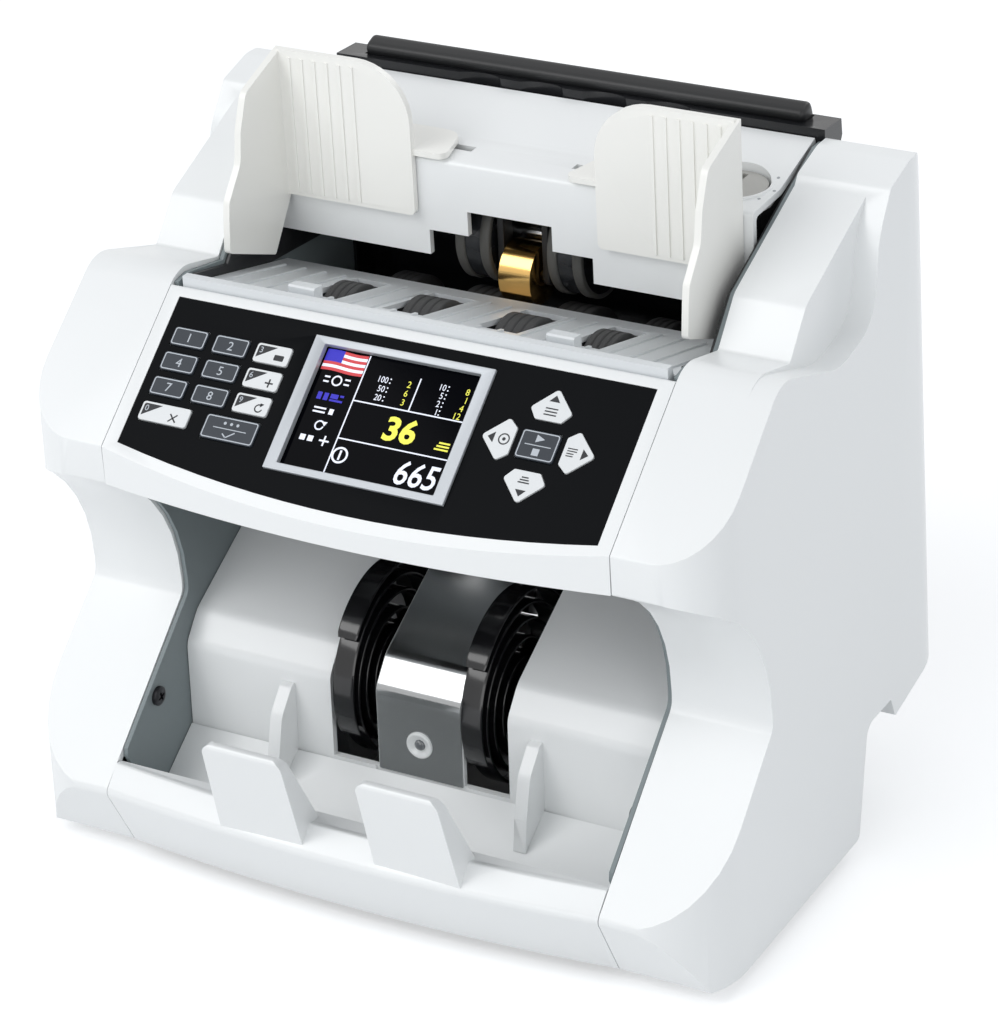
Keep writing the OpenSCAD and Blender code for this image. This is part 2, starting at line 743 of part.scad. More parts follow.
cheek_front_y = 62;
cheek_low_z = 172;
cheek_drop = 2.4;
module hopper_cheeks() placed() color("black") both_sides() difference() {
  along_x(cheek_in, plate_in) polygon([
    [cheek_front_y, floor_line(cheek_front_y) - 8],
    [door_split_y - 1, cheek_low_z],
    [door_split_y - 1, top_z - cheek_drop],
    [block_rear_y, top_z - cheek_drop],
    [step_top.x + 1.6, step_top.y - cheek_drop],
    [step_foot.x + 0.4, step_foot.y - cheek_drop],
    [cheek_front_y, crest_z - 4]
  ]);
  rod(separator_at, bearing_r + 2.4, cheek_in - 1, plate_in + 1);
}

cover_t = 2.4;
cover_low_z = 187;
cover_top_z = top_z - 8.5;
cover_knee_y = 136;
cover_rear = [door_split_y - 0.6, top_z - 0.6];
cover_points = [
  [cover_y, cover_low_z, 0],
  [cover_y, cover_top_z, 1.6],
  [cover_knee_y, cover_top_z + 0.4, 8],
  [cover_rear.x, cover_rear.y, 0]
];
cutout_x = [15.9, 30.9];
cutout_z = [204.8, 196];
pinion_at = [0, 127.5];
pinion_teeth = 10;
tooth_pitch = 3.1416;
pitch_r = pinion_teeth * tooth_pitch / 6.2832;
rack_z = [cover_top_z - 9.6, cover_top_z - 5.6];
tongue_x = [44, 50];
tongue_y = [pinion_at.y - 1.3, pinion_at.y + 1.3];
dial_at = [74, 133.6];
dial_r = 11.5;
module top_cover() placed() color("white") {
  difference() {
    along_x(-hopper_x, hopper_x) polygon(sheet(cover_points, 0, cover_t));
    translate([-cutout_x[0], cover_y - 3, 150]) cube([2 * cutout_x[0], 8, cutout_z[0] - 150]);
    translate([-cutout_x[1], cover_y - 3, 150]) cube([2 * cutout_x[1], 8, cutout_z[1] - 150]);
    both_sides() translate([tongue_x[0] - guide_travel - 7, tongue_y[0] - 0.6, cover_top_z - 5])
      cube([tongue_x[1] - tongue_x[0] + guide_travel + 11, tongue_y[1] - tongue_y[0] + 1.2, 9]);
    translate([dial_at.x, dial_at.y, cover_top_z - 6]) cylinder(r = dial_r + 0.8, h = 16);
  }
  // Cup that holds the dial.
  difference() {
    translate([dial_at.x, dial_at.y, cover_top_z - 5.4]) cylinder(r = dial_r + 0.8, h = 2);
    translate([dial_at.x, dial_at.y, cover_top_z - 6]) cylinder(r = 2.5 + fit, h = 4);
  }
  difference() {
    translate([dial_at.x, dial_at.y, cover_top_z - 5.4]) cylinder(r = dial_r + 1.7, h = 6.4);
    translate([dial_at.x, dial_at.y, cover_top_z - 6]) cylinder(r = dial_r + 0.8, h = 16);
  }
  // Pin for the pinion.
  translate([0, pinion_at.y, rack_z[0] - 0.6]) cylinder(r = 2, h = cover_top_z - 1 - rack_z[0]);
}

module gap_dial() placed() color("ivory") translate([dial_at.x, dial_at.y, 0]) difference() {
  union() {
    translate([0, 0, cover_top_z - 3.1]) cylinder(r = dial_r, h = 3.6);
    translate([0, 0, cover_top_z - 8]) cylinder(r = 2.5, h = 5);
  }
  translate([-1, -dial_r + 2.2, cover_top_z - 1.1]) cube([2, 2 * dial_r - 4.4, 4]);
}

// The rack teeth's outline in plan, for a rack whose pitch line is y = 0 and whose body is at +y.
module rack_outline(x0, x1) {
  translate([x0, 0.9]) square([x1 - x0, 2.4]);
  for (k = [ceil((x0 + 1) / tooth_pitch) : floor((x1 - 1) / tooth_pitch)])
    translate([k * tooth_pitch, 0]) polygon([[-1.2, 1.2], [-0.45, -0.8], [0.45, -0.8], [1.2, 1.2]]);
}

guide_front = [74.4, 194.9];
inner_x = 34.5;
inner_r = 20;
panel_in_y = cover_y - gap - guide_t - 0.1;
tab_z = cover_top_z + 0.9;
tab_x = [22, 58];
guide_low_z = 196;
// Height at a share of the guide's upper part.
function guide_z(share) = guide_low_z + share * (guide_top_z - guide_low_z);
guide_side = [
  [101.7, 183.4, 1],
  [112.7, 199, 1],
  [panel_in_y + guide_t, 203, 0],
  [panel_in_y + guide_t, guide_top_z, 0],
  [91.4, guide_z(0.862), 5],
  [86.6, guide_z(0.655), 8],
  [84.9, guide_z(0.466), 8],
  [76.4, guide_z(0.284), 4],
  [75.6, guide_z(0.19), 3],
  [guide_front.x, guide_front.y, 2]
];
panel_low_z = 201.5;
panel_rib = [1.2, 0.5];
panel_rib_step = 4.85;
module guide() {
  along_x(guide_x, guide_x + guide_t) polygon(rounded(guide_side, 4));
  translate([0, panel_in_y, 0]) rotate([90, 0, 0]) mirror([0, 0, 1]) linear_extrude(guide_t) polygon(rounded([
    [inner_x, panel_low_z, 2],
    [guide_x + 1, panel_low_z, 0],
    [guide_x + 1, guide_top_z, 0],
    [inner_x, guide_top_z, inner_r]
  ], 10));
  for (k = [0 : 5]) translate([guide_x - 4.6 - panel_rib_step * k, panel_in_y - panel_rib[1], panel_low_z + 1.5])
    cube([panel_rib[0], 2 * panel_rib[1], guide_top_z - panel_low_z - 4]);
  translate([0, 0, tab_z]) linear_extrude(2) polygon(rounded([
    [tab_x[0], panel_in_y + 1, 3],
    [tab_x[1], panel_in_y + 1, 0],
    [tab_x[1], cover_knee_y - 2, 2],
    [tab_x[0] + 5, cover_knee_y - 2, 8]
  ]));
  translate([tongue_x[0], tongue_y[0], rack_z[0]])
    cube([tongue_x[1] - tongue_x[0], tongue_y[1] - tongue_y[0], tab_z + 1 - rack_z[0]]);
}
rack_in_x = -7;
module right_guide() placed() color("ivory") {
  guide();
  translate([0, pinion_at.y + pitch_r, rack_z[0]]) linear_extrude(rack_z[1] - rack_z[0])
    rack_outline(rack_in_x, tongue_x[1]);
  translate([tongue_x[0], tongue_y[0], rack_z[0]])
    cube([tongue_x[1] - tongue_x[0], pitch_r + 3, rack_z[1] - rack_z[0]]);
}
module left_guide() placed() color("ivory") {
  mirror([1, 0, 0]) guide();
  translate([0, pinion_at.y - pitch_r, rack_z[0]]) rotate([0, 0, 180]) linear_extrude(rack_z[1] - rack_z[0])
    rack_outline(rack_in_x, tongue_x[1]);
  translate([-tongue_x[1], pinion_at.y - pitch_r - 1.7, rack_z[0]])
    cube([tongue_x[1] - tongue_x[0], pitch_r + 3, rack_z[1] - rack_z[0]]);
}

module guide_pinion() placed() color("white") translate([0, pinion_at.y, rack_z[0]]) difference() {
  linear_extrude(rack_z[1] - rack_z[0] - 0.3) {
    circle(r = pitch_r - 1.2);
    for (k = [0 : pinion_teeth - 1]) rotate(360 * k / pinion_teeth)
      polygon([[0, -0.9], [pitch_r - 1.3, -0.9], [pitch_r + 0.7, -0.35], [pitch_r + 0.7, 0.35], [pitch_r - 1.3, 0.9], [0, 0.9]]);
  }
  translate([0, 0, -1]) cylinder(r = 2 + fit, h = 10);
}

bracket_x = [7.2, 9.7];
module roller_bracket() placed() color("black") {
  both_sides() along_x(bracket_x[0], bracket_x[1]) polygon(rounded([
    [brass_at.x - 3.4, brass_at.y - 3.4, 3],
    [brass_at.x + 3.4, brass_at.y - 3.4, 3],
    [brass_at.x + 3, cover_top_z - cover_t, 0],
    [brass_at.x - 3, cover_top_z - cover_t, 0]
  ]));
  rod(brass_at, 2, -bracket_x[1], bracket_x[1]);
}
module brass_roller() placed() color("goldenrod") difference() {
  rod(brass_at, brass_r, -6.3, 6.3);
  rod(brass_at, 2 + fit, -7, 7);
}

// ---- shafts, rollers and drive ----------------------------------------------------------------

shaft_end = plate_out + 2;
belt_t = 1.2;
belt_w = 4;
belt_step = 5.2;
belt_x = plate_out + 3.2;
// Radii of the pulleys, seated on their shafts outside the left frame plate.
feed_pulley_r = 9;
pickup_pulley_r = 9;
stacker_pulley_r = 14;
motor_pulley_r = 7;
separator_pulley_r = 9;

// A pulley on the left side, in belt lane k, at p.
module pulley(p, r, k, inner_r) difference() {
  union() {
    rod(p, r, -belt_x - belt_step * k - belt_w - 0.4, -belt_x - belt_step * k + 0.4);
    rod(p, r + 1.8, -belt_x - belt_step * k - belt_w - 0.9, -belt_x - belt_step * k - belt_w - 0.4);
  }
  rod(p, inner_r + press, -belt_x - belt_step * k - belt_w - 2, -belt_x - belt_step * k + 2);
}

module pickup_shaft() placed() color("silver") {
  rod(pickup_at, shaft_r, -belt_x - belt_step * 2 - 1, shaft_end);
  pulley(pickup_at, pickup_pulley_r, 1, shaft_r);
}
module feed_shaft() placed() color("silver") {
  rod(feed_at, shaft_r, -belt_x - belt_step * 3 - 1, shaft_end);
  pulley(feed_at, feed_pulley_r, 0, shaft_r);
  pulley(feed_at, pickup_pulley_r, 1, shaft_r);
  pulley(feed_at, separator_pulley_r, 2, shaft_r);
}
module separator_shaft() placed() color("silver") {
  rod(separator_at, shaft_r - 1, cheek_in - 3, shaft_end);
  rod(separator_at, shaft_r - 1, -belt_x - belt_step * 3 - 1, cheek_in - 2);
  rod(separator_at, shaft_r, -plate_out - 1, -cheek_in + 2);
  rod(separator_at, shaft_r, cheek_in - 2, plate_out + 1);
  pulley(separator_at, separator_pulley_r, 2, shaft_r - 1);
}
module stacker_shaft() placed() color("silver") {
  rod(stacker_at, shaft_r, -belt_x - belt_step * 2 - 1, shaft_end);
  pulley(stacker_at, stacker_pulley_r, 1, shaft_r);
}

module rollers(at, r, bore) both_sides() for (span = [roller_x, side_roller_x]) difference() {
  rod(at, r, span[0], span[1]);
  rod(at, bore + press, span[0] - 1, span[1] + 1);
}
module pickup_rollers() placed() color("dimgray") rollers(pickup_at, pickup_r, shaft_r);
module feed_rollers() placed() color("dimgray") rollers(feed_at, feed_r, shaft_r);
module separator_rollers() placed() color("black") both_sides() difference() {
  rod(separator_at, separator_r, roller_x[0], roller_x[1]);
  rod(separator_at, shaft_r - 1 + press, roller_x[0] - 1, roller_x[1] + 1);
}

fin_t = 1.3;
fin_w = 8;
hub_r = 10;
fin_sweep = 300;
fin_tip = 147.5;
fin_steps = 25;
// Distance of a fin's middle from the wheel's centre, at the share t of its length.
function fin_r(t) = hub_r - 1 + (wheel_r - hub_r + 1 - fin_t / 2) * (1 - pow(1 - t, 1.4));
function fin_point(t, d) = let (a = fin_tip - fin_sweep * (1 - t)) (fin_r(t) + d) * [cos(a), sin(a)];
// Spiral fins around a hub, each one's tip close over the next.
module wheel_outline() for (k = [0 : wheel_fins - 1]) rotate(360 * k / wheel_fins) polygon(concat(
  [for (n = [0 : fin_steps]) fin_point(n / fin_steps, -fin_t / 2)],
  [for (n = [fin_steps : -1 : 0]) fin_point(n / fin_steps, fin_t / 2)]
));
module stacker_wheels() placed() color("black") for (x = [-wheel_x[1] + 1.3, wheel_x[0]]) difference() {
  union() {
    translate([x, stacker_at.x, stacker_at.y]) rotate([90, 0, 90]) linear_extrude(fin_w) wheel_outline();
    rod(stacker_at, hub_r, x, x + wheel_w - 1.3);
  }
  rod(stacker_at, shaft_r + press, x - 1, x + wheel_w + 1);
}

module belt(p, a, q, b, k) along_x(-belt_x - belt_step * k - belt_w, -belt_x - belt_step * k) difference() {
  polygon(belt_points(p, a + gap + belt_t, q, b + gap + belt_t));
  polygon(belt_points(p, a + gap, q, b + gap));
}
module drive_belts() placed() color("black") {
  belt(feed_at, feed_pulley_r, motor_at, motor_pulley_r, 0);
  belt(pickup_at, pickup_pulley_r, feed_at, pickup_pulley_r, 1);
  belt(separator_at, separator_pulley_r, feed_at, separator_pulley_r, 2);
  belt(motor_at, motor_pulley_r, stacker_at, stacker_pulley_r, 1);
}

motor_r = 18;
motor_len = 46;
motor_shaft_r = 2.5;
motor_nose_r = 10;
module drive_motor() placed() color("gray") difference() {
  union() {
    rod(motor_at, motor_r, -plate_in, -plate_in + motor_len);
    rod(motor_at, motor_nose_r - press, -plate_out, -plate_in + 1);
  }
  rod(motor_at, motor_shaft_r + fit, -plate_out - 1, -plate_in + 20);
}
module motor_pulley() placed() color("silver") {
  rod(motor_at, motor_shaft_r, -belt_x - belt_step * 2 - 1, -plate_in + 18);
  pulley(motor_at, motor_pulley_r, 0, motor_shaft_r);
  pulley(motor_at, motor_pulley_r, 1, motor_shaft_r);
}

guide_gap = 2.2;
note_guide_r = feed_r + guide_gap;
note_guide_x = 85;
module note_guide() placed() color("dimgray") {
  along_x(-note_guide_x, note_guide_x) translate(feed_at) intersection() {
    difference() {
      circle(r = note_guide_r + 2);
      circle(r = note_guide_r);
    }
    polygon([[0, 0], [60, -2], [60, -60], [-30, -60], [-24, -40]]);
  }
  both_sides() along_x(note_guide_x, bay_x) polygon([
    [feed_at.x - 8, feed_at.y - note_guide_r - 3],
    [feed_at.x + 8, feed_at.y - note_guide_r - 3],
    [feed_at.x + 8, feed_at.y - note_guide_r - 0.6],
    [feed_at.x - 8, feed_at.y - note_guide_r - 0.6]
  ]);
}

main_board_at = [42, 62];
main_board_size = [44, 96];
board_post = [2, 5];
board_inset = 4;
module main_board() placed() color("darkgreen") {
  translate([main_board_at.x, main_board_at.y, foot_h + base_t + board_post[1]])
    cube([main_board_size.x, main_board_size.y, board_t]);
  for (x = [board_inset, main_board_size.x - board_inset], y = [board_inset, main_board_size.y - board_inset])
    translate([main_board_at.x + x, main_board_at.y + y, foot_h + base_t]) cylinder(r = board_post[0], h = board_post[1]);
}
supply_at = [-86, 62];
supply_size = [42, 80, 30];
module power_supply() placed() color("silver") translate([supply_at.x, supply_at.y, foot_h + base_t]) cube(supply_size);

module power_inlet() placed() color("black") {
  difference() {
    union() {
      translate([inlet_at.x - inlet_size.x / 2 + 0.3, panel_y - 18, inlet_at.y - inlet_size.y / 2 + 0.3])
        cube([inlet_size.x - 0.6, 18 + base_t, inlet_size.y - 0.6]);
      translate([inlet_at.x - inlet_size.x / 2 - 2, panel_y + base_t, inlet_at.y - inlet_size.y / 2 - 2])
        cube([inlet_size.x + 4, 1.6, inlet_size.y + 4]);
    }
    translate([inlet_at.x - 12, panel_y - 15, inlet_at.y - 7.5]) cube([24, 30, 15]);
  }
  for (x = [-7, 0, 7]) translate([inlet_at.x + x - 1, panel_y - 15.5, inlet_at.y - 2 + (x == 0 ? 2 : -1)]) cube([2, 13, 4]);
}

module power_rocker() placed() color("black") translate([rocker_at.x, panel_y + base_t / 2, rocker_at.y]) {
  along_x(0.8 - rocker_size.x / 2, rocker_size.x / 2 - 0.8) polygon([
    [0, -8.6], [2.4, -8.4], [3.4, 8.4], [0, 8.6], [-6, 5], [-6, -5]
  ]);
  rod([0, 0], 1.2, -rocker_size.x / 2 + 0.1, rocker_size.x / 2 - 0.1);
}

// ---- rear door and grip -----------------------------------------------------------------------

pin_r = 2.5;
door_t = 2.4;
door_low_z = 60;
door_x = plate_out - 0.2;
// The door's lower part is narrower, so that it turns between the frame plates.
narrow_z = hinge_at.y + 14;
door_points = [
  [rear_low_y + 2.2, door_low_z, 0],
  [rear_y - 0.8, rear_mid_z, 150],
  [rear_top_y + 3, top_z - 1.2, 0]
];
grip_r = 4.2;
grip_x = 83.6;
scallop_x = [-36, -12, 12, 36];
scallop_r = 15;
scallop_depth = 2.6;
door_lip_z = grip_at.y - 0.6;
module rear_door() placed() color("black") {
  difference() {
    union() {
      along_x(-door_x, door_x)
        polygon(rounded(concat(shifted(door_points, 0), reversed(shifted(door_points, door_t))), 8));
      // Cap that carries the grip bar.
      along_x(-door_x, door_x) polygon([
        [door_split_y, top_z - 2.6],
        [grip_at.x + 3.4, top_z - 8],
        [grip_at.x + 5.6, top_z - 4],
        [grip_at.x + 5, grip_at.y - 1.4],
        [door_split_y, door_lip_z]
      ]);
    }
    rod(grip_at, grip_r + press, -grip_x - gap, grip_x + gap);
    for (x = scallop_x) translate([x, door_split_y - scallop_r + scallop_depth, top_z - 10]) cylinder(r = scallop_r, h = 20);
    both_sides() translate([bay_x, 100, door_low_z - 1]) cube([10, 100, narrow_z - door_low_z + 1]);
  }
  // Sides.
  both_sides() along_x(door_x - door_t, door_x) polygon([
    [door_points[0].x + 0.5, narrow_z],
    [rear_y - 2, rear_mid_z],
    [rear_top_y + 2, top_z - 2],
    [door_split_y, top_z - 2],
    [door_split_y, narrow_z + 6],
    [door_split_y + 6, narrow_z]
  ]);
  // Hinge ears with their pins, which turn in the frame plates.
  both_sides() {
    along_x(bay_x - 4, bay_x) polygon(rounded([
      [hinge_at.x - 5, hinge_at.y - 5, 4],
      [door_points[0].x - 1, door_low_z, 0],
      [door_points[0].x - 0.6, narrow_z, 0],
      [hinge_at.x - 5, hinge_at.y + 5, 4]
    ]));
    rod(hinge_at, pin_r, bay_x - 1, plate_out);
  }
}
module grip_bar() placed() color("black") rod(grip_at, grip_r, -grip_x, grip_x);

base_plate();
rubber_feet();
left_frame_plate();
right_frame_plate();
left_side_casing();
right_side_casing();
casing_screws();
front_tray();
chute_cover();
chrome_plate();
tray_sensor_lens();
console_housing();
panel_overlay();
display_bezel();
display_module();
keypad_board();
key_1();
key_2();
key_3();
key_4();
key_5();
key_6();
key_7();
key_8();
key_9();
key_0();
key_enter();
key_up();
key_left();
key_start();
key_right();
key_down();
hopper_floor();
hopper_cheeks();
top_cover();
left_guide();
right_guide();
guide_pinion();
gap_dial();
roller_bracket();
pickup_shaft();
pickup_rollers();
feed_shaft();
feed_rollers();
separator_shaft();
separator_rollers();
brass_roller();
stacker_shaft();
stacker_wheels();
shaft_bearings();
drive_belts();
drive_motor();
motor_pulley();
note_guide();
main_board();
power_supply();
power_inlet();
power_rocker();
rear_door();
grip_bar();
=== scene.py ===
"""A desktop banknote counting machine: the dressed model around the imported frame."""

import math

import bmesh
import bpy
import numpy as np
from mathutils import Matrix, Vector


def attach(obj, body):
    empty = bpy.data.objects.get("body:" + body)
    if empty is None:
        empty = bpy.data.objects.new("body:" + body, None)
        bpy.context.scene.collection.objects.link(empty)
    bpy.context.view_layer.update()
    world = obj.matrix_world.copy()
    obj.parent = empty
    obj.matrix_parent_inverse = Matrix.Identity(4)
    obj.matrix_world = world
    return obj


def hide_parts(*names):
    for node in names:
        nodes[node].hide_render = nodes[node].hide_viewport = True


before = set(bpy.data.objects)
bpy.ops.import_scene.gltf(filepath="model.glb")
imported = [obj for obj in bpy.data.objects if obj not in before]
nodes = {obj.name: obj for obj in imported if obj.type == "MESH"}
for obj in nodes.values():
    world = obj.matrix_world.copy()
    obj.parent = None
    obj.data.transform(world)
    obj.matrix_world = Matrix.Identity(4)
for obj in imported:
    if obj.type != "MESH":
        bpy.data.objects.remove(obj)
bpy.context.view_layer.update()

# ---- Camera, studio light and floor ----
# A long lens looks down on the machine from its front right. Large soft lamps and a pale floor
# light it evenly, and the floor and sky show white behind it.


def shown(name, data):
    """A new object in the scene."""
    thing = bpy.data.objects.new(name, data)
    bpy.context.scene.collection.objects.link(thing)
    return thing


view_camera = shown("view_camera", bpy.data.cameras.new("view_camera"))
view_camera.data.lens = 139.76
view_camera.data.sensor_width = 36.0
view_camera.data.clip_start = 0.05
view_camera.matrix_world = Matrix((
    (0.8738, -0.1871, 0.4490, 0.60500),
    (0.4839, 0.4274, -0.7636, -1.00685),
    (-0.0490, 0.8844, 0.4640, 0.72910),
    (0.0, 0.0, 0.0, 1.0),
))
bpy.context.scene.camera = view_camera
bpy.context.scene.view_settings.view_transform = "Standard"

lamp_aim = Vector((0.0, 0.0, 0.12))


def soft_lamp(name, at, size, power):
    """A square area lamp, size metres wide, at a point and facing the middle of the machine."""
    lamp = shown(name, bpy.data.lights.new(name, "AREA"))
    lamp.data.size = size
    lamp.data.energy = power
    lamp.location = at
    lamp.rotation_euler = (lamp_aim - Vector(at)).to_track_quat("-Z", "Y").to_euler()


soft_lamp("key_lamp", (-0.9, -1.1, 1.5), 1.1, 12.2)
soft_lamp("fill_lamp", (1.5, -0.7, 0.9), 1.2, 4.4)
soft_lamp("front_lamp", (-0.1, -2.0, 0.5), 1.2, 6.8)
soft_lamp("back_lamp", (0.3, 1.3, 1.3), 0.9, 6.0)


def placed(tree, kind, **values):
    """A new shader node. Each value goes on the socket of its name, where _ stands for a space."""
    node = tree.nodes.new("ShaderNode" + kind)
    for socket, value in values.items():
        node.inputs[socket.replace("_", " ")].default_value = value
    return node


def wire(tree, *pairs):
    """Links each output to its input."""
    for source, target in pairs:
        tree.links.new(source, target)


def seen_white(tree):
    """A value of 1 for rays that come straight from the camera, a mirror or glass."""
    path = placed(tree, "LightPath")
    total = path.outputs["Is Camera Ray"]
    for kind in ("Is Glossy Ray", "Is Transmission Ray"):
        larger = placed(tree, "Math")
        larger.operation = "MAXIMUM"
        wire(tree, (total, larger.inputs[0]), (path.outputs[kind], larger.inputs[1]))
        total = larger.outputs[0]
    return total


white = (1.0, 1.0, 1.0, 1.0)
sky = bpy.data.worlds.new("studio_sky")
bpy.context.scene.world = sky
sky.use_nodes = True
sky_tree = sky.node_tree
sky_tree.nodes.clear()
sky_light = placed(sky_tree, "Background", Color=(0.93, 0.96, 1.0, 1.0), Strength=0.52)
sky_seen = placed(sky_tree, "Background", Color=white, Strength=1.0)
sky_mix = placed(sky_tree, "MixShader")
sky_out = placed(sky_tree, "OutputWorld")
wire(sky_tree, (seen_white(sky_tree), sky_mix.inputs[0]), (sky_light.outputs[0], sky_mix.inputs[1]),
     (sky_seen.outputs[0], sky_mix.inputs[2]), (sky_mix.outputs[0], sky_out.inputs[0]))

floor_mesh = bpy.data.meshes.new("studio_floor")
floor_mesh.from_pydata([(-3, -3, 0), (3, -3, 0), (3, 3, 0), (-3, 3, 0)], [], [(0, 1, 2, 3)])
studio_floor = shown("studio_floor", floor_mesh)
floor_paint = bpy.data.materials.new("studio_floor")
floor_paint.use_nodes = True
floor_tree = floor_paint.node_tree
floor_tree.nodes.clear()
floor_matte = placed(floor_tree, "BsdfDiffuse", Color=(0.80, 0.81, 0.82, 1.0))
floor_glow = placed(floor_tree, "Emission", Color=white, Strength=0.42)
floor_dark = placed(floor_tree, "Emission", Strength=0.0)
floor_pick = placed(floor_tree, "MixShader")
floor_sum = placed(floor_tree, "AddShader")
floor_out = placed(floor_tree, "OutputMaterial")
wire(floor_tree, (seen_white(floor_tree), floor_pick.inputs[0]),
     (floor_dark.outputs[0], floor_pick.inputs[1]), (floor_glow.outputs[0], floor_pick.inputs[2]),
     (floor_pick.outputs[0], floor_sum.inputs[0]), (floor_matte.outputs[0], floor_sum.inputs[1]),
     (floor_sum.outputs[0], floor_out.inputs[0]))
floor_mesh.materials.append(floor_paint)

# ---- Base plate, power supply and motor ----
# The machine stands on a folded pan of zinc-plated steel, which also forms the low rear panel.
# The power supply's case and the motor's can are plated sheet steel too, and stay inside.

# Effect shared by every finish: a fine grain as height, and slow cloudy patches that vary the
# roughness and the tint.
grain = bpy.data.node_groups.new("surface_grain", "ShaderNodeTree")
for way, sockets in (("INPUT", ("Fine Scale", "Cloud Scale", "Rough Low", "Rough High")),
                     ("OUTPUT", ("Height", "Roughness", "Cloud"))):
    for socket in sockets:
        grain.interface.new_socket(socket, in_out=way, socket_type="NodeSocketFloat")
grain_in = grain.nodes.new("NodeGroupInput")
grain_out = grain.nodes.new("NodeGroupOutput")
grain_place = placed(grain, "TexCoord")
grain_fine = placed(grain, "TexNoise", Detail=3.0)
grain_cloud = placed(grain, "TexNoise", Detail=4.0)
grain_range = placed(grain, "MapRange", From_Min=0.2, From_Max=0.8)
wire(grain,
     (grain_place.outputs["Object"], grain_fine.inputs["Vector"]),
     (grain_place.outputs["Object"], grain_cloud.inputs["Vector"]),
     (grain_in.outputs["Fine Scale"], grain_fine.inputs["Scale"]),
     (grain_in.outputs["Cloud Scale"], grain_cloud.inputs["Scale"]),
     (grain_cloud.outputs["Fac"], grain_range.inputs["Value"]),
     (grain_in.outputs["Rough Low"], grain_range.inputs["To Min"]),
     (grain_in.outputs["Rough High"], grain_range.inputs["To Max"]),
     (grain_fine.outputs["Fac"], grain_out.inputs["Height"]),
     (grain_range.outputs["Result"], grain_out.inputs["Roughness"]),
     (grain_cloud.outputs["Fac"], grain_out.inputs["Cloud"]))

cloud_scale, lacquer_rough, line_length = 14.0, 0.08, 60.0


def finish(name, tint, rough, fine=900, height=2e-5, metallic=0.0, coat=0.0, shade=0.97,
           specular=0.5, glow=0.0, lines=None):
    """A surface whose colour drifts slowly between tint and shade times tint, whose roughness
    drifts over rough = (low, high), and whose normal follows a fine grain of the given height in
    metres. lines = (axis, waves per metre) lays turning or brushing lines across that axis instead
    of the round grain, line_length times as long as they are wide. Moulded plastic that is
    coloured right through has a shade of 1 and one roughness, and shows its grain alone."""
    paint = bpy.data.materials.new(name)
    paint.use_nodes = True
    tree = paint.node_tree
    body = tree.nodes["Principled BSDF"]
    for socket, value in (("Base Color", (*tint, 1.0)), ("Roughness", rough[0]),
                          ("Metallic", metallic), ("Specular IOR Level", specular),
                          ("Coat Weight", coat), ("Coat Roughness", lacquer_rough),
                          ("Emission Strength", glow)):
        body.inputs[socket].default_value = value
    skin = tree.nodes.new("ShaderNodeGroup")
    skin.node_tree = grain
    for socket, value in (("Fine Scale", fine), ("Cloud Scale", cloud_scale),
                          ("Rough Low", rough[0]), ("Rough High", rough[1])):
        skin.inputs[socket].default_value = value
    if shade != 1.0:
        drift = placed(tree, "Mix")
        drift.data_type = "RGBA"
        drift.inputs["A"].default_value = (*tint, 1.0)
        drift.inputs["B"].default_value = (*(shade * c for c in tint), 1.0)
        wire(tree, (skin.outputs["Cloud"], drift.inputs["Factor"]),
             (drift.outputs["Result"], body.inputs["Base Color"]))
    if rough[0] != rough[1]:
        wire(tree, (skin.outputs["Roughness"], body.inputs["Roughness"]))
    bump = placed(tree, "Bump", Strength=1.0, Distance=height)
    wire(tree, (bump.outputs["Normal"], body.inputs["Normal"]))
    if lines:
        across, waves = lines
        place = placed(tree, "TexCoord")
        stretch = placed(tree, "Mapping", Scale=tuple(
            waves if axis == across else waves / line_length for axis in "xyz"))
        scratch = placed(tree, "TexNoise", Scale=1.0, Detail=2.0)
        wire(tree, (place.outputs["Object"], stretch.inputs["Vector"]),
             (stretch.outputs["Vector"], scratch.inputs["Vector"]),
             (scratch.outputs["Fac"], bump.inputs["Height"]))
    else:
        wire(tree, (skin.outputs["Height"], bump.inputs["Height"]))
    return paint


def repaint(paint, *kept):
    """Puts a finish on the CAD nodes whose shape is kept."""
    for node in kept:
        nodes[node].data.materials.clear()
        nodes[node].data.materials.append(paint)


zinc_plate = finish("zinc_plate", (0.50, 0.51, 0.52), (0.30, 0.46), metallic=0.9, height=1e-5,
                    lines=("y", 4200))
repaint(zinc_plate, "base_plate", "power_supply")
motor_steel = finish("motor_steel", (0.42, 0.42, 0.43), (0.24, 0.36), metallic=1.0, height=8e-6,
                     lines=("x", 5200))
repaint(motor_steel, "drive_motor")

# ---- Rubber feet ----
# Four soft feet of black rubber, pushed into holes of the pan. Their matte skin is slightly
# dusty.

foot_rubber = finish("foot_rubber", (0.014, 0.014, 0.015), (0.62, 0.82), fine=1600, height=5e-5,
                     shade=1.6)
repaint(foot_rubber, "rubber_feet")

# ---- Main board and keypad board ----
# Glass-epoxy circuit boards under green solder mask, on standoffs inside the case. The keypad
# board lies under the keys.

board_mask = finish("board_mask", (0.015, 0.13, 0.055), (0.22, 0.36), fine=2600, height=1e-5,
                    coat=0.3, shade=0.8)
repaint(board_mask, "main_board", "keypad_board")

# ---- Steel side frames ----
# Two cut steel plates carry every shaft. They are powder-coated in a flat blue grey, whose fine
# texture shows at the tray's left side.

# The CAD source measures depth from the tray; its middle stands this far behind, in millimetres.
mid_y = 76.25
soft_angle, flat_angle = 32.0, 0.4
plate_coat = finish("plate_coat", (0.225, 0.262, 0.272), (0.46, 0.58), fine=2400, height=3e-5,
                    shade=0.93)


def draw_sharp(work, angle):
    """Shades faces smooth, and draws the open edges and those sharper than angle (degrees)
    sharp."""
    for face in work.faces:
        face.smooth = True
    for edge in work.edges:
        edge.smooth = (len(edge.link_faces) == 2
                       and edge.calc_face_angle(0.0) < math.radians(angle))


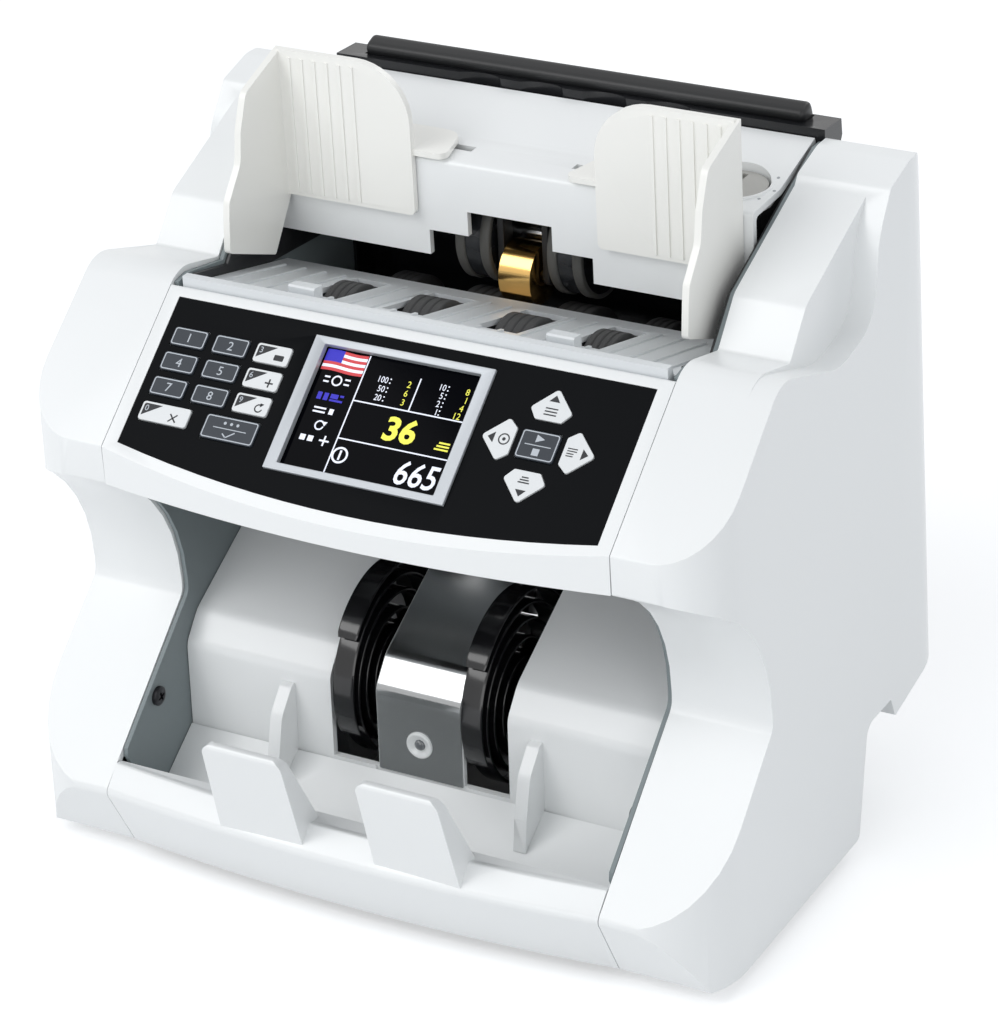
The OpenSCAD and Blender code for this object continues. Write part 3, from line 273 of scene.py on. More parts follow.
def dressed(name, work, mesh, paint, body, stands_for):
    """The finished piece: the shape in work in its paint, riding on a body."""
    work.to_mesh(mesh)
    work.free()
    mesh.materials.clear()
    mesh.materials.append(paint)
    piece = shown(name, mesh)
    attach(piece, body)
    if stands_for:
        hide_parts(*stands_for)
    return piece


def eased(node, name, paint, width=0.0006, segments=2, body="frame", flat=True, softer=()):
    """A copy of a CAD node with its doubles merged, its flat faces joined where flat is set, and
    each edge sharper than soft_angle rounded off by width metres, or none where width is 0.
    softer lists (low corner, high corner, width) boxes in the CAD source's millimetres, whose
    edges get their own width, only the convex ones where width is 0."""
    mesh = nodes[node].data.copy()
    mesh.name = name
    work = bmesh.new()
    work.from_mesh(mesh)
    bmesh.ops.remove_doubles(work, verts=work.verts, dist=1e-6)
    if flat:
        bmesh.ops.dissolve_limit(work, angle_limit=math.radians(flat_angle), verts=work.verts,
                                 edges=work.edges)
    draw_sharp(work, soft_angle)
    widest = max([width] + [wide for low, high, wide in softer])
    weight = work.edges.layers.float.new("bevel_weight_edge")
    for edge in work.edges:
        if edge.smooth or width == 0 and not edge.is_convex:
            continue
        middle = (edge.verts[0].co + edge.verts[1].co) * 500.0 + Vector((0.0, mid_y, 0.0))
        inside = [wide for low, high, wide in softer
                  if all(a <= m <= b for a, m, b in zip(low, middle, high))]
        edge[weight] = max(inside, default=width) / widest
    piece = dressed(name, work, mesh, paint, body, [node])
    soften = piece.modifiers.new("soften", "BEVEL")
    soften.width = widest
    soften.segments = segments
    soften.limit_method = "WEIGHT"
    soften.use_clamp_overlap = True
    soften.harden_normals = True
    soften.miter_outer = "MITER_ARC"


for side in ("left", "right"):
    eased(side + "_frame_plate", side + "_plate_sheet", plate_coat, 0.0002)

# ---- Screws of the casings ----
# Eight pan-head screws with cross recesses, black zinc on steel. They go through the side
# frames from inside into the casings' bosses.


def full_turn(steps):
    """Angles evenly round a turn, the first of them 0."""
    return np.linspace(0.0, 2.0 * np.pi, steps, endpoint=False)


def cad_points(x, y, z):
    """Points in metres from places in the CAD source's millimetres."""
    return np.stack(np.broadcast_arrays(x, y - mid_y, z), axis=-1) / 1000.0


def grid_faces(points, ring=False, lids=False):
    """Points and faces over a grid whose rows are closed loops: each face joins points[i, j] with
    its next neighbours along i and j. ring joins the last row to the first, and lids puts one
    face over each of these."""
    rows, columns = points.shape[:2]
    index = np.arange(rows * columns).reshape(rows, columns)
    ends = [index[0][::-1].tolist(), index[-1].tolist()] if lids else []
    if ring:
        index = np.vstack([index, index[:1]])
    index = np.hstack([index, index[:, :1]])
    quads = np.stack([index[:-1, :-1], index[:-1, 1:], index[1:, 1:], index[1:, :-1]], axis=-1)
    return points.reshape(-1, 3), quads.reshape(-1, 4).tolist() + ends


def built(name, parts, paint, body="frame", stands_for=(), sharp=38.0):
    """One piece from parts, a list of (points, faces). Its doubles are merged, its faces turned
    outwards, and its edges drawn sharp where the faces meet at more than sharp degrees."""
    offset = np.cumsum([0] + [len(points) for points, faces in parts])
    mesh = bpy.data.meshes.new(name)
    mesh.from_pydata(
        np.concatenate([points for points, faces in parts]).tolist(), [],
        [[int(start) + v for v in face]
         for start, (points, faces) in zip(offset, parts) for face in faces])
    work = bmesh.new()
    work.from_mesh(mesh)
    bmesh.ops.remove_doubles(work, verts=work.verts, dist=2e-6)
    bmesh.ops.recalc_face_normals(work, faces=work.faces)
    draw_sharp(work, sharp)
    dressed(name, work, mesh, paint, body, stands_for)


screw_places = ((18.7, 52.4), (62.0, 150.0), (152.0, 120.0), (150.0, 62.0))
head_r, head_h, head_fall, shank_r, screw_steps = 3.4, 1.8, 0.4, 1.25, 96
plate_face_x, shank_end_x, shank_point = 91.6, 105.0, 1.0
recess_half, recess_reach, recess_deep, recess_fade, recess_turn = 0.42, 1.75, 1.1, 0.12, 0.35


def cross_screw(side, y, z):
    """A pan head over its shank. The head's height over radius r is head_h (1 - head_fall
    (r / head_r)^4), less the cross recess: two crossed slots, recess_deep deep, that fade over
    recess_fade at their edges."""
    reach = np.linspace(0.0, 1.0, 26)[:, None]
    turn = full_turn(screw_steps)[None, :] + recess_turn
    a = np.abs(head_r * reach * np.cos(turn - recess_turn))
    b = np.abs(head_r * reach * np.sin(turn - recess_turn))
    slot = np.maximum(np.minimum(recess_half - a, recess_reach - b),
                      np.minimum(recess_half - b, recess_reach - a))
    height = (head_h * (1.0 - head_fall * reach ** 4)
              - recess_deep * np.clip(slot / recess_fade, 0.0, 1.0))
    top = cad_points(plate_face_x - height, y + head_r * reach * np.cos(turn),
                     z + head_r * reach * np.sin(turn))
    x, r = np.array(((plate_face_x, head_r), (plate_face_x, shank_r), (shank_end_x, shank_r),
                     (shank_end_x + shank_point, 0.0))).T[..., None]
    points, faces = grid_faces(np.concatenate([
        top, cad_points(x, y + r * np.cos(turn), z + r * np.sin(turn))]))
    return points * (side, 1.0, 1.0), faces


screw_black = finish("screw_black", (0.045, 0.045, 0.05), (0.28, 0.42), metallic=0.8, fine=3000,
                     height=6e-6)
screw_parts = [cross_screw(side, *place) for side in (-1.0, 1.0) for place in screw_places]
built("casing_screw_set", screw_parts, screw_black, "frame", ("casing_screws",))

# ---- Side casings ----
# Two tall mouldings of cool white ABS, screwed to the steel side frames from inside. Their
# edges are broken by small radii, and their gloss shows a faint orange peel from the mould.

shell_white = finish("shell_white", (0.885, 0.90, 0.90), (0.28, 0.28), fine=420, height=1.5e-6,
                     coat=0.1, shade=1.0)
for side in ("left", "right"):
    eased(side + "_side_casing", side + "_casing_shell", shell_white, 0.0009, 3)

# ---- Front tray ----
# White moulding across the front: a bowed lip with two paddles that hold up the counted notes,
# and the sloping floor behind them. Clipped between the casings.

paddle_boxes = (((-50.0, -30.0, 36.0), (-10.0, 20.0, 80.0), 0.0013),
                ((10.0, -30.0, 36.0), (50.0, 20.0, 80.0), 0.0013))
eased("front_tray", "tray_shell", shell_white, 0.0007, 4, softer=paddle_boxes)

# ---- Chute cover ----
# White moulding that rises behind the tray, with slots for the stacker wheels and two upright
# note stops. Held between the side frames.

stop_boxes = (((-54.0, 20.0, 34.0), (-47.0, 38.0, 62.0), 0.0017),
              ((41.0, 20.0, 34.0), (48.5, 38.0, 62.0), 0.0017))
eased("chute_cover", "chute_shell", shell_white, 0.0, 4, softer=stop_boxes)

# ---- Chrome plate and tray sensor ----
# A strip of mirror-polished steel between the wheels, bent to the chute, with the white dish
# of the tray sensor pressed through it and a grey diode in the dish's middle.

chrome = finish("chrome_sheet", (0.40, 0.41, 0.415), (0.12, 0.18), metallic=1.0, height=1.6e-6,
                lines=("x", 2600))
eased("chrome_plate", "chrome_strip", chrome, 0.00015)


def turned(profile, centre, axis="x", steps=64):
    """Points and faces of a closed profile of (along, radius) pairs in millimetres, turned about
    an axis parallel to x or y through centre: along runs with the axis, and the radius goes round
    it."""
    along, radius = np.array(profile, float).T[..., None]
    turn = full_turn(steps)
    shape = [along, radius * np.cos(turn), radius * np.sin(turn)]
    if axis == "y":
        shape[:2] = shape[1::-1]
    return grid_faces(cad_points(*(c + part for c, part in zip(centre, shape))), ring=True)


sensor_at = (0.0, 37.9, 45.0)
dish_profile = [(0.8, 2.0), (0.8, 4.9), (-0.5, 4.9), (-0.85, 4.75), (-1.0, 4.45), (-0.95, 4.1),
                (-0.6, 3.5), (-0.2, 2.7), (0.0, 2.0)]
eye_profile = [(0.7, 0.0), (0.7, 1.98), (-0.1, 1.98), (-0.5, 1.85), (-0.85, 1.5), (-1.05, 1.0),
               (-1.15, 0.5), (-1.18, 0.0)]
dish_white = finish("dish_white", (0.78, 0.80, 0.80), (0.18, 0.26), fine=1800, height=6e-6,
                    coat=0.4)
eye_grey = finish("eye_grey", (0.12, 0.13, 0.14), (0.05, 0.10), fine=1800, height=4e-6, coat=1.0)
built("sensor_dish", [turned(dish_profile, sensor_at, "y")], dish_white, "frame",
      ("tray_sensor_lens",), 60.0)
built("sensor_eye", [turned(eye_profile, sensor_at, "y")], eye_grey, sharp=60.0)

# ---- Stacker wheels ----
# Two wheels of glossy black urethane on the front shaft. Six springy spiral fins on each catch
# a note, carry it round and lay it in the tray.

stacker_at = (0.0, 72.0, 58.0)
fin_inner, fin_outer, fin_thick, fin_curl = 9.0, 36.35, 1.3, 1.4
fin_sweep, fin_tip_angle, fin_count = 300.0, 147.5, 6
fin_corner, fin_taper, fin_tip_share = 6, 0.35, 0.012
wheel_spans = ((-32.0, -24.0, -17.3), (17.3, 25.3, 32.0))
# The bores of what sits on the 8 mm shafts, and the radii of a wheel's hub.
shaft_bore, hub_shoulder, hub_r, hub_break = 4.02, 9.4, 10.0, 0.6


def spiral_fin(x0, x1, turn):
    """A leaf of width x0 to x1 along a spiral: at the share t of its length its middle lies at the
    radius inner + (outer - inner) (1 - (1 - t)^curl), at the angle tip - sweep (1 - t) + turn. Its
    section is a rectangle with corners rounded by a superellipse of power fin_corner. It thins by
    fin_taper t^6 towards the tip, which is rounded off over the last fin_tip_share."""
    t = np.linspace(0.0, 1.0, 110)[:, None]
    around = full_turn(20)[None, :]
    wide = np.sign(np.cos(around)) * np.abs(np.cos(around)) ** (2 / fin_corner)
    thick = np.sign(np.sin(around)) * np.abs(np.sin(around)) ** (2 / fin_corner)
    ease = np.clip((1.0 - t) / fin_tip_share, 0.0, 1.0) ** 0.5
    half = 0.5 * fin_thick * (1.0 - fin_taper * t ** 6) * (0.15 + 0.85 * ease)
    radius = fin_inner + (fin_outer - fin_inner) * (1.0 - (1.0 - t) ** fin_curl) + half * thick
    angle = np.radians(fin_tip_angle - fin_sweep * (1.0 - t) + turn)
    middle, reach = 0.5 * (x0 + x1), 0.5 * (x1 - x0) * (0.88 + 0.12 * ease)
    return grid_faces(cad_points(middle + reach * wide, stacker_at[1] + radius * np.cos(angle),
                                 stacker_at[2] + radius * np.sin(angle)), lids=True)


wheel_parts = []
for x0, x1, hub_end in wheel_spans:
    wheel_parts += [spiral_fin(x0, x1, 360.0 / fin_count * k) for k in range(fin_count)]
    hub = [(x0, shaft_bore), (x0, hub_shoulder), (x0 + hub_break, hub_r),
           (hub_end - hub_break, hub_r), (hub_end, hub_shoulder), (hub_end, shaft_bore)]
    wheel_parts.append(turned(hub, stacker_at))
urethane = finish("urethane_black", (0.006, 0.006, 0.007), (0.10, 0.20), fine=420, height=1.2e-5,
                  specular=0.6, shade=1.5)
built("stacker_wheel_pair", wheel_parts, urethane, "stacker", ("stacker_wheels",))

# ---- Shafts, bushes, pulleys and belts ----
# Ground steel shafts run in flanged bronze bushes across the side frames. Toothed rubber belts
# and turned pulleys couple them outside the left frame.

shaft_steel = finish("shaft_steel", (0.56, 0.57, 0.58), (0.16, 0.26), metallic=1.0, height=5e-6,
                     lines=("x", 6500))
for body in ("pickup", "feed", "separator", "stacker"):
    eased(body + "_shaft", body + "_shaft_turned", shaft_steel, 0.0002, body=body)
eased("motor_pulley", "motor_pulley_turned", shaft_steel, 0.0002,
      body="motor_pulleys")
bush_bronze = finish("bush_bronze", (0.42, 0.27, 0.12), (0.34, 0.48), metallic=1.0, height=1e-5,
                     lines=("x", 4000))
repaint(bush_bronze, "shaft_bearings")
belt_rubber = finish("belt_rubber", (0.016, 0.016, 0.017), (0.55, 0.7), fine=2600, height=6e-5)
repaint(belt_rubber, "drive_belts")

# ---- Pickup and feed rollers ----
# Grey rubber tyres on the two lower shafts, ground with fine grooves. They draw the lowest note
# in and carry it round to the stacker.

tyre_grey = finish("tyre_grey", (0.050, 0.050, 0.051), (0.62, 0.74), fine=2200, height=3e-5,
                   shade=0.85)
pickup_r, pickup_at = 15.0, (0.0, 90.0, 168.0)
feed_r, feed_at = 21.5, (0.0, 127.0, 149.0)
tyre_spans = ((11.0, 24.0), (44.0, 54.0), (-24.0, -11.0), (-54.0, -44.0))
groove_count, groove_deep, groove_half = 3, 0.5, 0.45
# Places along a tyre's edge and below its tread that round its shoulder.
shoulder_in, shoulder_steps = 0.6, ((0.0, 0.7), (0.2, 0.2))


def grooved_tyre(x0, x1, radius, centre):
    """A tyre from x0 to x1 with rounded shoulders. At a distance d from the middle of a groove its
    tread dips by groove_deep (1 - d / groove_half)^0.5, and the grooves are spread evenly."""
    along = np.linspace(x0 + shoulder_in, x1 - shoulder_in, 61)
    phase = (along - x0) / (x1 - x0) * (groove_count + 1)
    near = np.abs(phase - np.round(phase)) * (x1 - x0) / (groove_count + 1)
    inner = (np.round(phase) > 0) & (np.round(phase) <= groove_count)
    dip = groove_deep * np.where(inner, np.clip(1.0 - near / groove_half, 0.0, 1.0) ** 0.5, 0.0)
    front = [(x0 + inwards, radius - below) for inwards, below in shoulder_steps]
    back = [(x1 - inwards, radius - below) for inwards, below in shoulder_steps[::-1]]
    return turned([(x0, shaft_bore), *front, *zip(along, radius - dip), *back,
                   (x1, shaft_bore)], centre)


for body, radius, centre in (("pickup", pickup_r, pickup_at), ("feed", feed_r, feed_at)):
    tyres = [grooved_tyre(x0, x1, radius, centre) for x0, x1 in tyre_spans]
    built(body + "_tyres", tyres, tyre_grey, body, (body + "_rollers",), 60.0)

# ---- Separator rollers ----
# The upper pair turns against the notes: dark hubs between two bands of matte grey rubber each,
# in the window of the top cover.

separator_at = (0.0, 138.5, 190.5)
band_spans, band_bore, band_shoulder, band_r, band_break = (
    ((11.0, 14.6), (20.4, 24.0)), 16.8, 18.2, 18.5, 0.3)
core_profile = [(11.2, 3.02), (11.2, 17.6), (14.4, 17.9), (20.6, 17.9), (23.8, 17.6), (23.8, 3.02)]
separator_black = finish("separator_black", (0.012, 0.013, 0.015), (0.20, 0.34), shade=1.5)
band_grey = finish("band_grey", (0.085, 0.084, 0.078), (0.60, 0.75), fine=2600, height=6e-5,
                   shade=0.85)
core_parts, band_parts = [], []
for side in (-1.0, 1.0):
    core_parts.append(turned([(side * x, r) for x, r in core_profile], separator_at))
    for x0, x1 in band_spans:
        band = [(x0, band_bore), (x0, band_shoulder), (x0 + band_break, band_r),
                (x1 - band_break, band_r), (x1, band_shoulder), (x1, band_bore)]
        band_parts.append(turned([(side * x, r) for x, r in band], separator_at))
built("separator_hubs", core_parts, separator_black, "separator",
      ("separator_rollers",), 60.0)
built("separator_bands", band_parts, band_grey, "separator", (), 60.0)

# ---- Brass roller and its bracket ----
# A turned and polished brass roller idles on a black bracket between the separator rollers. It
# keeps the notes flat while they part. Steel ends of its pin show on both sides.

bracket_black = finish("bracket_black", (0.016, 0.016, 0.017), (0.34, 0.46), fine=1500)
eased("roller_bracket", "bracket_arms", bracket_black, 0.0004)
brass_r, brass_gap = 10.5, 0.5
brass_at = (0.0, feed_at[1], feed_at[2] + feed_r + brass_gap + brass_r)
brass_profile = [(-6.3, 2.05), (-6.3, 9.9), (-5.9, brass_r), (5.9, brass_r), (6.3, 9.9),
                 (6.3, 2.05)]
pin_profile = ((9.6, 0.0), (9.6, 1.6), (10.6, 1.6), (10.9, 1.2), (10.9, 0.0))
brass = finish("brass", (0.80, 0.50, 0.17), (0.13, 0.22), metallic=1.0, height=6e-6, shade=0.9,
               lines=("x", 5000))
built("brass_sleeve", [turned(brass_profile, brass_at, steps=96)], brass, "brass",
      ("brass_roller",))
pin_parts = [turned([(side * x, r) for x, r in pin_profile], brass_at) for side in (-1, 1)]
built("brass_pin_ends", pin_parts, shaft_steel)

# ---- Note guide inside ----
# A curved black moulding that leads each note round the feed rollers, held between the side
# frames.

guide_black = finish("inner_guide_black", (0.018, 0.018, 0.02), (0.30, 0.42), fine=1300)
eased("note_guide", "inner_note_guide", guide_black, 0.0003)

# ---- Console housing ----
# White moulding with a bowed front that bridges the casings. Its sloping face has pockets for
# the overlay, the display and the keys.

eased("console_housing", "console_shell", shell_white, 0.0005, 3)

# ---- Panel overlay ----
# Half-millimetre black polyester film with a faint satin texture, bonded into its pocket and
# cut out round the display and the keys.

overlay_film = finish("overlay_film", (0.0048, 0.0053, 0.0062), (0.30, 0.38), fine=2600,
                      height=8e-6, specular=0.03, shade=1.25)
eased("panel_overlay", "overlay_sheet", overlay_film, 0.0001)

# ---- Display ----
# A colour panel behind a silver painted frame. White rules part its picture into a narrow
# column and four fields; the picture is a striped flag, plain numbers, bars and small signs.

frame_silver = finish("frame_silver", (0.48, 0.505, 0.535), (0.30, 0.38), fine=1900,
                      height=1.2e-5, metallic=0.25, shade=0.94)
eased("display_bezel", "bezel_frame", frame_silver, 0.00025)
screen_glass = finish("screen_glass", (0.0012, 0.0015, 0.0032), (0.06, 0.10), height=2e-6,
                      specular=0.02, shade=0.6)
repaint(screen_glass, "display_module")

panel_tilt = math.radians(38.6)
panel_cos, panel_sin = math.cos(panel_tilt), math.sin(panel_tilt)
panel_y, panel_z = 4.4, 153.7


def on_panel(u, v, h):
    """Points on the console's face: u across it, v up its slope and h out of it, in
    millimetres."""
    return cad_points(u, panel_y + v * panel_cos - h * panel_sin,
                      panel_z + v * panel_sin + h * panel_cos)


def printed(outline, span):
    """A flat shape standing on the console's face over the heights of span = (low, high), with a
    closed outline of (u, v) points: two lids and a wall of quads."""
    u, v = np.array(outline, float).T
    return grid_faces(np.stack([on_panel(u, v, h) for h in span]), lids=True)


def printed_ring(outer, inner, span):
    """A flat frame between two closed outlines of equally many points."""
    (u, v), (s, t) = np.array(outer, float).T, np.array(inner, float).T
    loops = [on_panel(u, v, h) for h in span] + [on_panel(s, t, h) for h in span[::-1]]
    return grid_faces(np.stack(loops), ring=True)


def box_outline(u0, v0, u1, v1, radius=0.0, steps=5):
    """The corners of a rectangle, each rounded by an arc of the given radius."""
    if radius <= 0:
        return [(u0, v0), (u1, v0), (u1, v1), (u0, v1)]
    turn = np.linspace(0.0, np.pi / 2.0, steps)
    corners = ((u1 - radius, v0 + radius, -0.5), (u1 - radius, v1 - radius, 0.0),
               (u0 + radius, v1 - radius, 0.5), (u0 + radius, v0 + radius, 1.0))
    return [(cu + radius * math.cos(a + q * math.pi), cv + radius * math.sin(a + q * math.pi))
            for cu, cv, q in corners for a in turn]


def stroke(points, width):
    """Outlines of the straight strokes of a line through points, each as wide as width, with
    square ends."""
    ends = np.array(points, float)
    outlines = []
    for a, b in zip(ends[:-1], ends[1:]):
        along = (b - a) / np.hypot(*(b - a)) * 0.5 * width
        side = np.array([-along[1], along[0]])
        outlines.append([a - along - side, b + along - side, b + along + side, a - along + side])
    return outlines


def arc_points(u, v, radius, start, end, steps=18):
    """Points of an arc from start to end degrees."""
    turn = np.radians(np.linspace(start, end, steps))
    return list(zip(u + radius * np.cos(turn), v + radius * np.sin(turn)))


def circle_ring(u, v, radii, end, steps, span):
    """A flat ring round (u, v), its last step from end degrees back to 0."""
    return printed_ring(*(arc_points(u, v, r, 0, end, steps) for r in radii), span)


def numerals(text, u, v, tall, span, bold=0.0, lean=0.0, anchor="middle", narrow=1.0):
    """Plain numerals tall millimetres high, drawn from the built-in letter outlines and laid on
    the console's face. u is their middle or right edge as anchor says, and v their middle
    height."""
    line = bpy.data.curves.new("numerals", "FONT")
    line.body = text
    line.offset = bold
    line.shear = lean
    line.resolution_u = 3
    line.extrude = 0.5
    carrier = bpy.data.objects.new("numerals", line)
    drawn = bpy.data.meshes.new_from_object(carrier)
    spots = np.empty(len(drawn.vertices) * 3)
    drawn.vertices.foreach_get("co", spots)
    across, upward, outward = spots.reshape(-1, 3).T
    faces = [list(face.vertices) for face in drawn.polygons]
    bpy.data.meshes.remove(drawn)
    bpy.data.objects.remove(carrier)
    bpy.data.curves.remove(line)
    scale = tall / np.ptp(upward)
    wide = across * scale * narrow
    edge = wide.max() if anchor == "right" else 0.5 * (wide.min() + wide.max())
    rise = (upward - 0.5 * (upward.min() + upward.max())) * scale
    height = span[0] + (outward + 0.5) * (span[1] - span[0])
    return on_panel(u + wide - edge, v + rise, height), faces


pixel_span, cell_scale = (-1.42, -1.36), 4200.0


def pixel_finish(name, tint, glow):
    """The light of lit pixels, darkened slightly between the panel's fine rows and columns."""
    paint = finish(name, tint, (0.30, 0.36), fine=1200, height=1e-6, specular=0.2, glow=glow)
    tree = paint.node_tree
    body = tree.nodes["Principled BSDF"]
    place = placed(tree, "TexCoord")
    cells = placed(tree, "TexVoronoi", Scale=cell_scale, Randomness=0.15)
    dim = placed(tree, "MapRange", From_Min=0.0, From_Max=0.9, To_Min=1.0, To_Max=0.82)
    lit = placed(tree, "Mix")
    lit.data_type = "RGBA"
    lit.blend_type = "MULTIPLY"
    lit.inputs["Factor"].default_value = 1.0
    lit.inputs["A"].default_value = (*tint, 1.0)
    wire(tree, (place.outputs["Object"], cells.inputs["Vector"]),
         (cells.outputs["Distance"], dim.inputs["Value"]),
         (dim.outputs["Result"], lit.inputs["B"]),
         (lit.outputs["Result"], body.inputs["Emission Color"]),
         (lit.outputs["Result"], body.inputs["Base Color"]))
    return paint


def lit_shape(outline):
    """A lit shape on the display."""
    return printed(outline, pixel_span)


def lit_boxes(*edges):
    """Lit rectangles on the display, each from its two corners."""
    return [lit_shape(box_outline(*four)) for four in edges]


def lit_numerals(text, u, v, tall, **form):
    """Lit numerals on the display."""
    return numerals(text, u, v, tall, pixel_span, **form)


# The rules stand at the column's edge and between the upper halves, and lie under both rows.
screen_right, screen_low, screen_high = 28.8, 7.1, 50.3
column_u, half_u, upper_v, lower_v = -12.5, 7.9, 33.9, 20.3
half_rule = 0.225
white_parts = lit_boxes(
    (column_u - half_rule, screen_low + 0.4, column_u + half_rule, screen_high - 0.3),
    (half_u - half_rule, upper_v, half_u + half_rule, screen_high - 4.6),
    (column_u, upper_v - half_rule, screen_right - 0.3, upper_v + half_rule),
    (column_u, lower_v - half_rule, screen_right - 0.3, lower_v + half_rule),
)
# Rows of the two tables: a value, its count, the row's height, and 0 for the left table.
table_rows = (("100", "2", 42.9, 0), ("50", "6", 39.7, 0), ("20", "3", 36.5, 0),
              ("10", "8", 44.2, 1), ("5", "1", 41.3, 1), ("2", "4", 38.4, 1), ("1", "12", 35.5, 1))
value_u, colon_u, count_u = (-3.2, 17.6), (-2.3, 18.5), (5.3, 26.2)
white_parts += [lit_numerals(value, value_u[side], v, 2.2, anchor="right", narrow=0.85)
                for value, count, v, side in table_rows]
white_parts += [lit_shape(arc_points(colon_u[side], v + dv, 0.28, 0, 330, 8))
                for value, count, v, side in table_rows for dv in (-0.8, 0.6)]
white_parts.append(lit_numerals("665", 19.4, 13.2, 8.6, bold=0.01, lean=0.12, narrow=0.88))
# Signs in the column: a coin over a note, two sheets, a loop, and two bars with a tick.
white_parts.append(circle_ring(-20.8, 39.3, (1.9, 1.35), 345, 24, pixel_span))
white_parts += lit_boxes(
    (-25.6, 38.2, -23.6, 38.8), (-25.6, 39.9, -23.6, 40.5), (-18.0, 38.2, -16.0, 38.8),
    (-18.0, 39.9, -16.0, 40.5), (-25.0, 27.4, -20.5, 28.0), (-25.0, 28.8, -20.5, 29.4),
    (-19.2, 27.4, -17.6, 29.4), (-25.8, 17.2, -23.8, 19.2), (-22.9, 17.2, -20.9, 19.2),
    (-18.6, 17.9, -15.0, 18.5), (-17.1, 16.4, -16.5, 20.0),
)
white_parts += [lit_shape(line) for line in stroke(arc_points(-20.6, 23.2, 1.5, 40, 340, 14), 0.5)]
white_parts.append(lit_shape([(-19.9, 24.6), (-18.1, 24.7), (-18.9, 23.0)]))
# A coin in the lowest field: a ring with an upright bar.
white_parts.append(circle_ring(-9.4, 14.6, (2.9, 2.2), 350, 36, pixel_span))
white_parts += lit_boxes((-9.75, 12.9, -9.05, 16.3))
yellow_parts = [lit_numerals(count, count_u[side], v, 2.25, anchor="right", narrow=0.9)
                for value, count, v, side in table_rows]
yellow_parts.append(lit_numerals("36", 8.0, 27.0, 8.8, bold=0.03, lean=0.03, narrow=1.05))
yellow_parts += lit_boxes(*((21.6 + 0.5 * k, 23.0 + 1.15 * k, 26.6, 23.6 + 1.15 * k)
                            for k in range(3)))
blue_parts = lit_boxes(
    (-25.6, 32.0, -24.0, 34.6), (-23.2, 32.0, -21.6, 34.6), (-20.8, 32.0, -16.0, 32.7),
    (-20.8, 33.0, -18.0, 34.6), (-17.4, 33.9, -16.0, 34.6),
)
pixel_white = pixel_finish("pixel_white", (0.74, 0.77, 0.86), 0.55)
pixel_yellow = pixel_finish("pixel_yellow", (0.80, 0.78, 0.10), 0.5)
pixel_blue = pixel_finish("pixel_blue", (0.035, 0.03, 0.42), 0.6)
built("screen_white", white_parts, pixel_white)
built("screen_yellow", yellow_parts, pixel_yellow)

# The flag leans with the wind: stripes of equal height and a plain corner.
flag_left, flag_right, flag_v, flag_lift = -28.2, -13.0, 42.3, 0.22
stripe_v, stripe_count, corner_wide, corner_stripes = 1.06, 7, 6.4, 3


def flag_stripe(u0, u1, v0, v1):
    """A stripe whose height follows flag_lift sin(2 pi s) along the flag's share s, so that it
    waves a little."""
    share = np.linspace(u0, u1, 17)
    lift = flag_lift * np.sin(2.0 * np.pi * (share - flag_left) / (flag_right - flag_left))
    return lit_shape([*zip(share, v0 + lift), *zip(share[::-1], (v1 + lift)[::-1])])


corner_u, corner_v = flag_left + corner_wide, flag_v + corner_stripes * stripe_v
stripes = [flag_stripe(flag_left if k < corner_stripes else corner_u, flag_right,
                       flag_v + k * stripe_v, flag_v + (k + 1) * stripe_v)
           for k in range(stripe_count)]
blue_parts.append(flag_stripe(flag_left, corner_u, corner_v, flag_v + stripe_count * stripe_v))
pixel_red = pixel_finish("pixel_red", (0.55, 0.06, 0.07), 0.5)
built("screen_flag_red", stripes[::2], pixel_red)
built("screen_flag_pale", stripes[1::2], pixel_white)
built("screen_blue", blue_parts, pixel_blue)

# ---- Keys ----
# Twelve flat keys and four cursor keys of moulded plastic under a printed film, each on its own
# dome. Slate keys have a pale rim and numeral; white keys have a dark corner and a small sign.

key_slate = finish("key_slate", (0.032, 0.040, 0.052), (0.32, 0.42), fine=2200, height=1e-5,
                   specular=0.3, shade=0.85)
key_white = finish("key_white", (0.80, 0.82, 0.83), (0.30, 0.40), fine=2200, height=1e-5,
                   shade=0.96)
print_pale = finish("print_pale", (0.56, 0.60, 0.65), (0.40, 0.50), fine=3000, height=4e-6,
                    specular=0.3, shade=0.92)
print_dark = finish("print_dark", (0.026, 0.028, 0.032), (0.40, 0.50), fine=3000, height=4e-6,
                    specular=0.3, shade=0.85)
print_span, proud_span = (0.46, 0.53), (0.46, 0.56)
key_u, key_v, key_step, key_rise = -78.0, 24.7, 16.0, 9.2
key_wide, key_tall, key_edge, rim_inset, rim_line = 13.0, 6.7, 0.00018, 0.35, 0.36


def key_cap(key, paint):
    """The moulded cap of a key, its edges rounded by key_edge."""
    eased("key_" + key, "key_cap_" + key, paint, key_edge, body="key_" + key)


def key_rim(u, v, wide, tall):
    """The printed rim of a four-cornered key, rim_line wide and rim_inset from its edges."""
    w, h = wide / 2.0 - rim_inset, tall / 2.0 - rim_inset
    outer = box_outline(u - w, v - h, u + w, v + h, 0.9)
    w, h = w - rim_line, h - rim_line
    return printed_ring(outer, box_outline(u - w, v - h, u + w, v + h, 0.6), print_span)


def marks(outlines, u=0.0, v=0.0):
    """Shapes printed on a key's top, drawn around (u, v)."""
    return [printed([(u + a, v + b) for a, b in outline], print_span) for outline in outlines]


for digit, column, row in (("1", 0, 2), ("2", 1, 2), ("4", 0, 1), ("5", 1, 1), ("7", 0, 0),
                           ("8", 1, 0)):
    u, v = key_u + key_step * column, key_v + key_rise * row
    key_cap(digit, key_slate)
    built("key_print_" + digit, [key_rim(u, v, key_wide, key_tall),
                                 numerals(digit, u, v, 3.1, print_span)],
          print_pale, "key_" + digit)

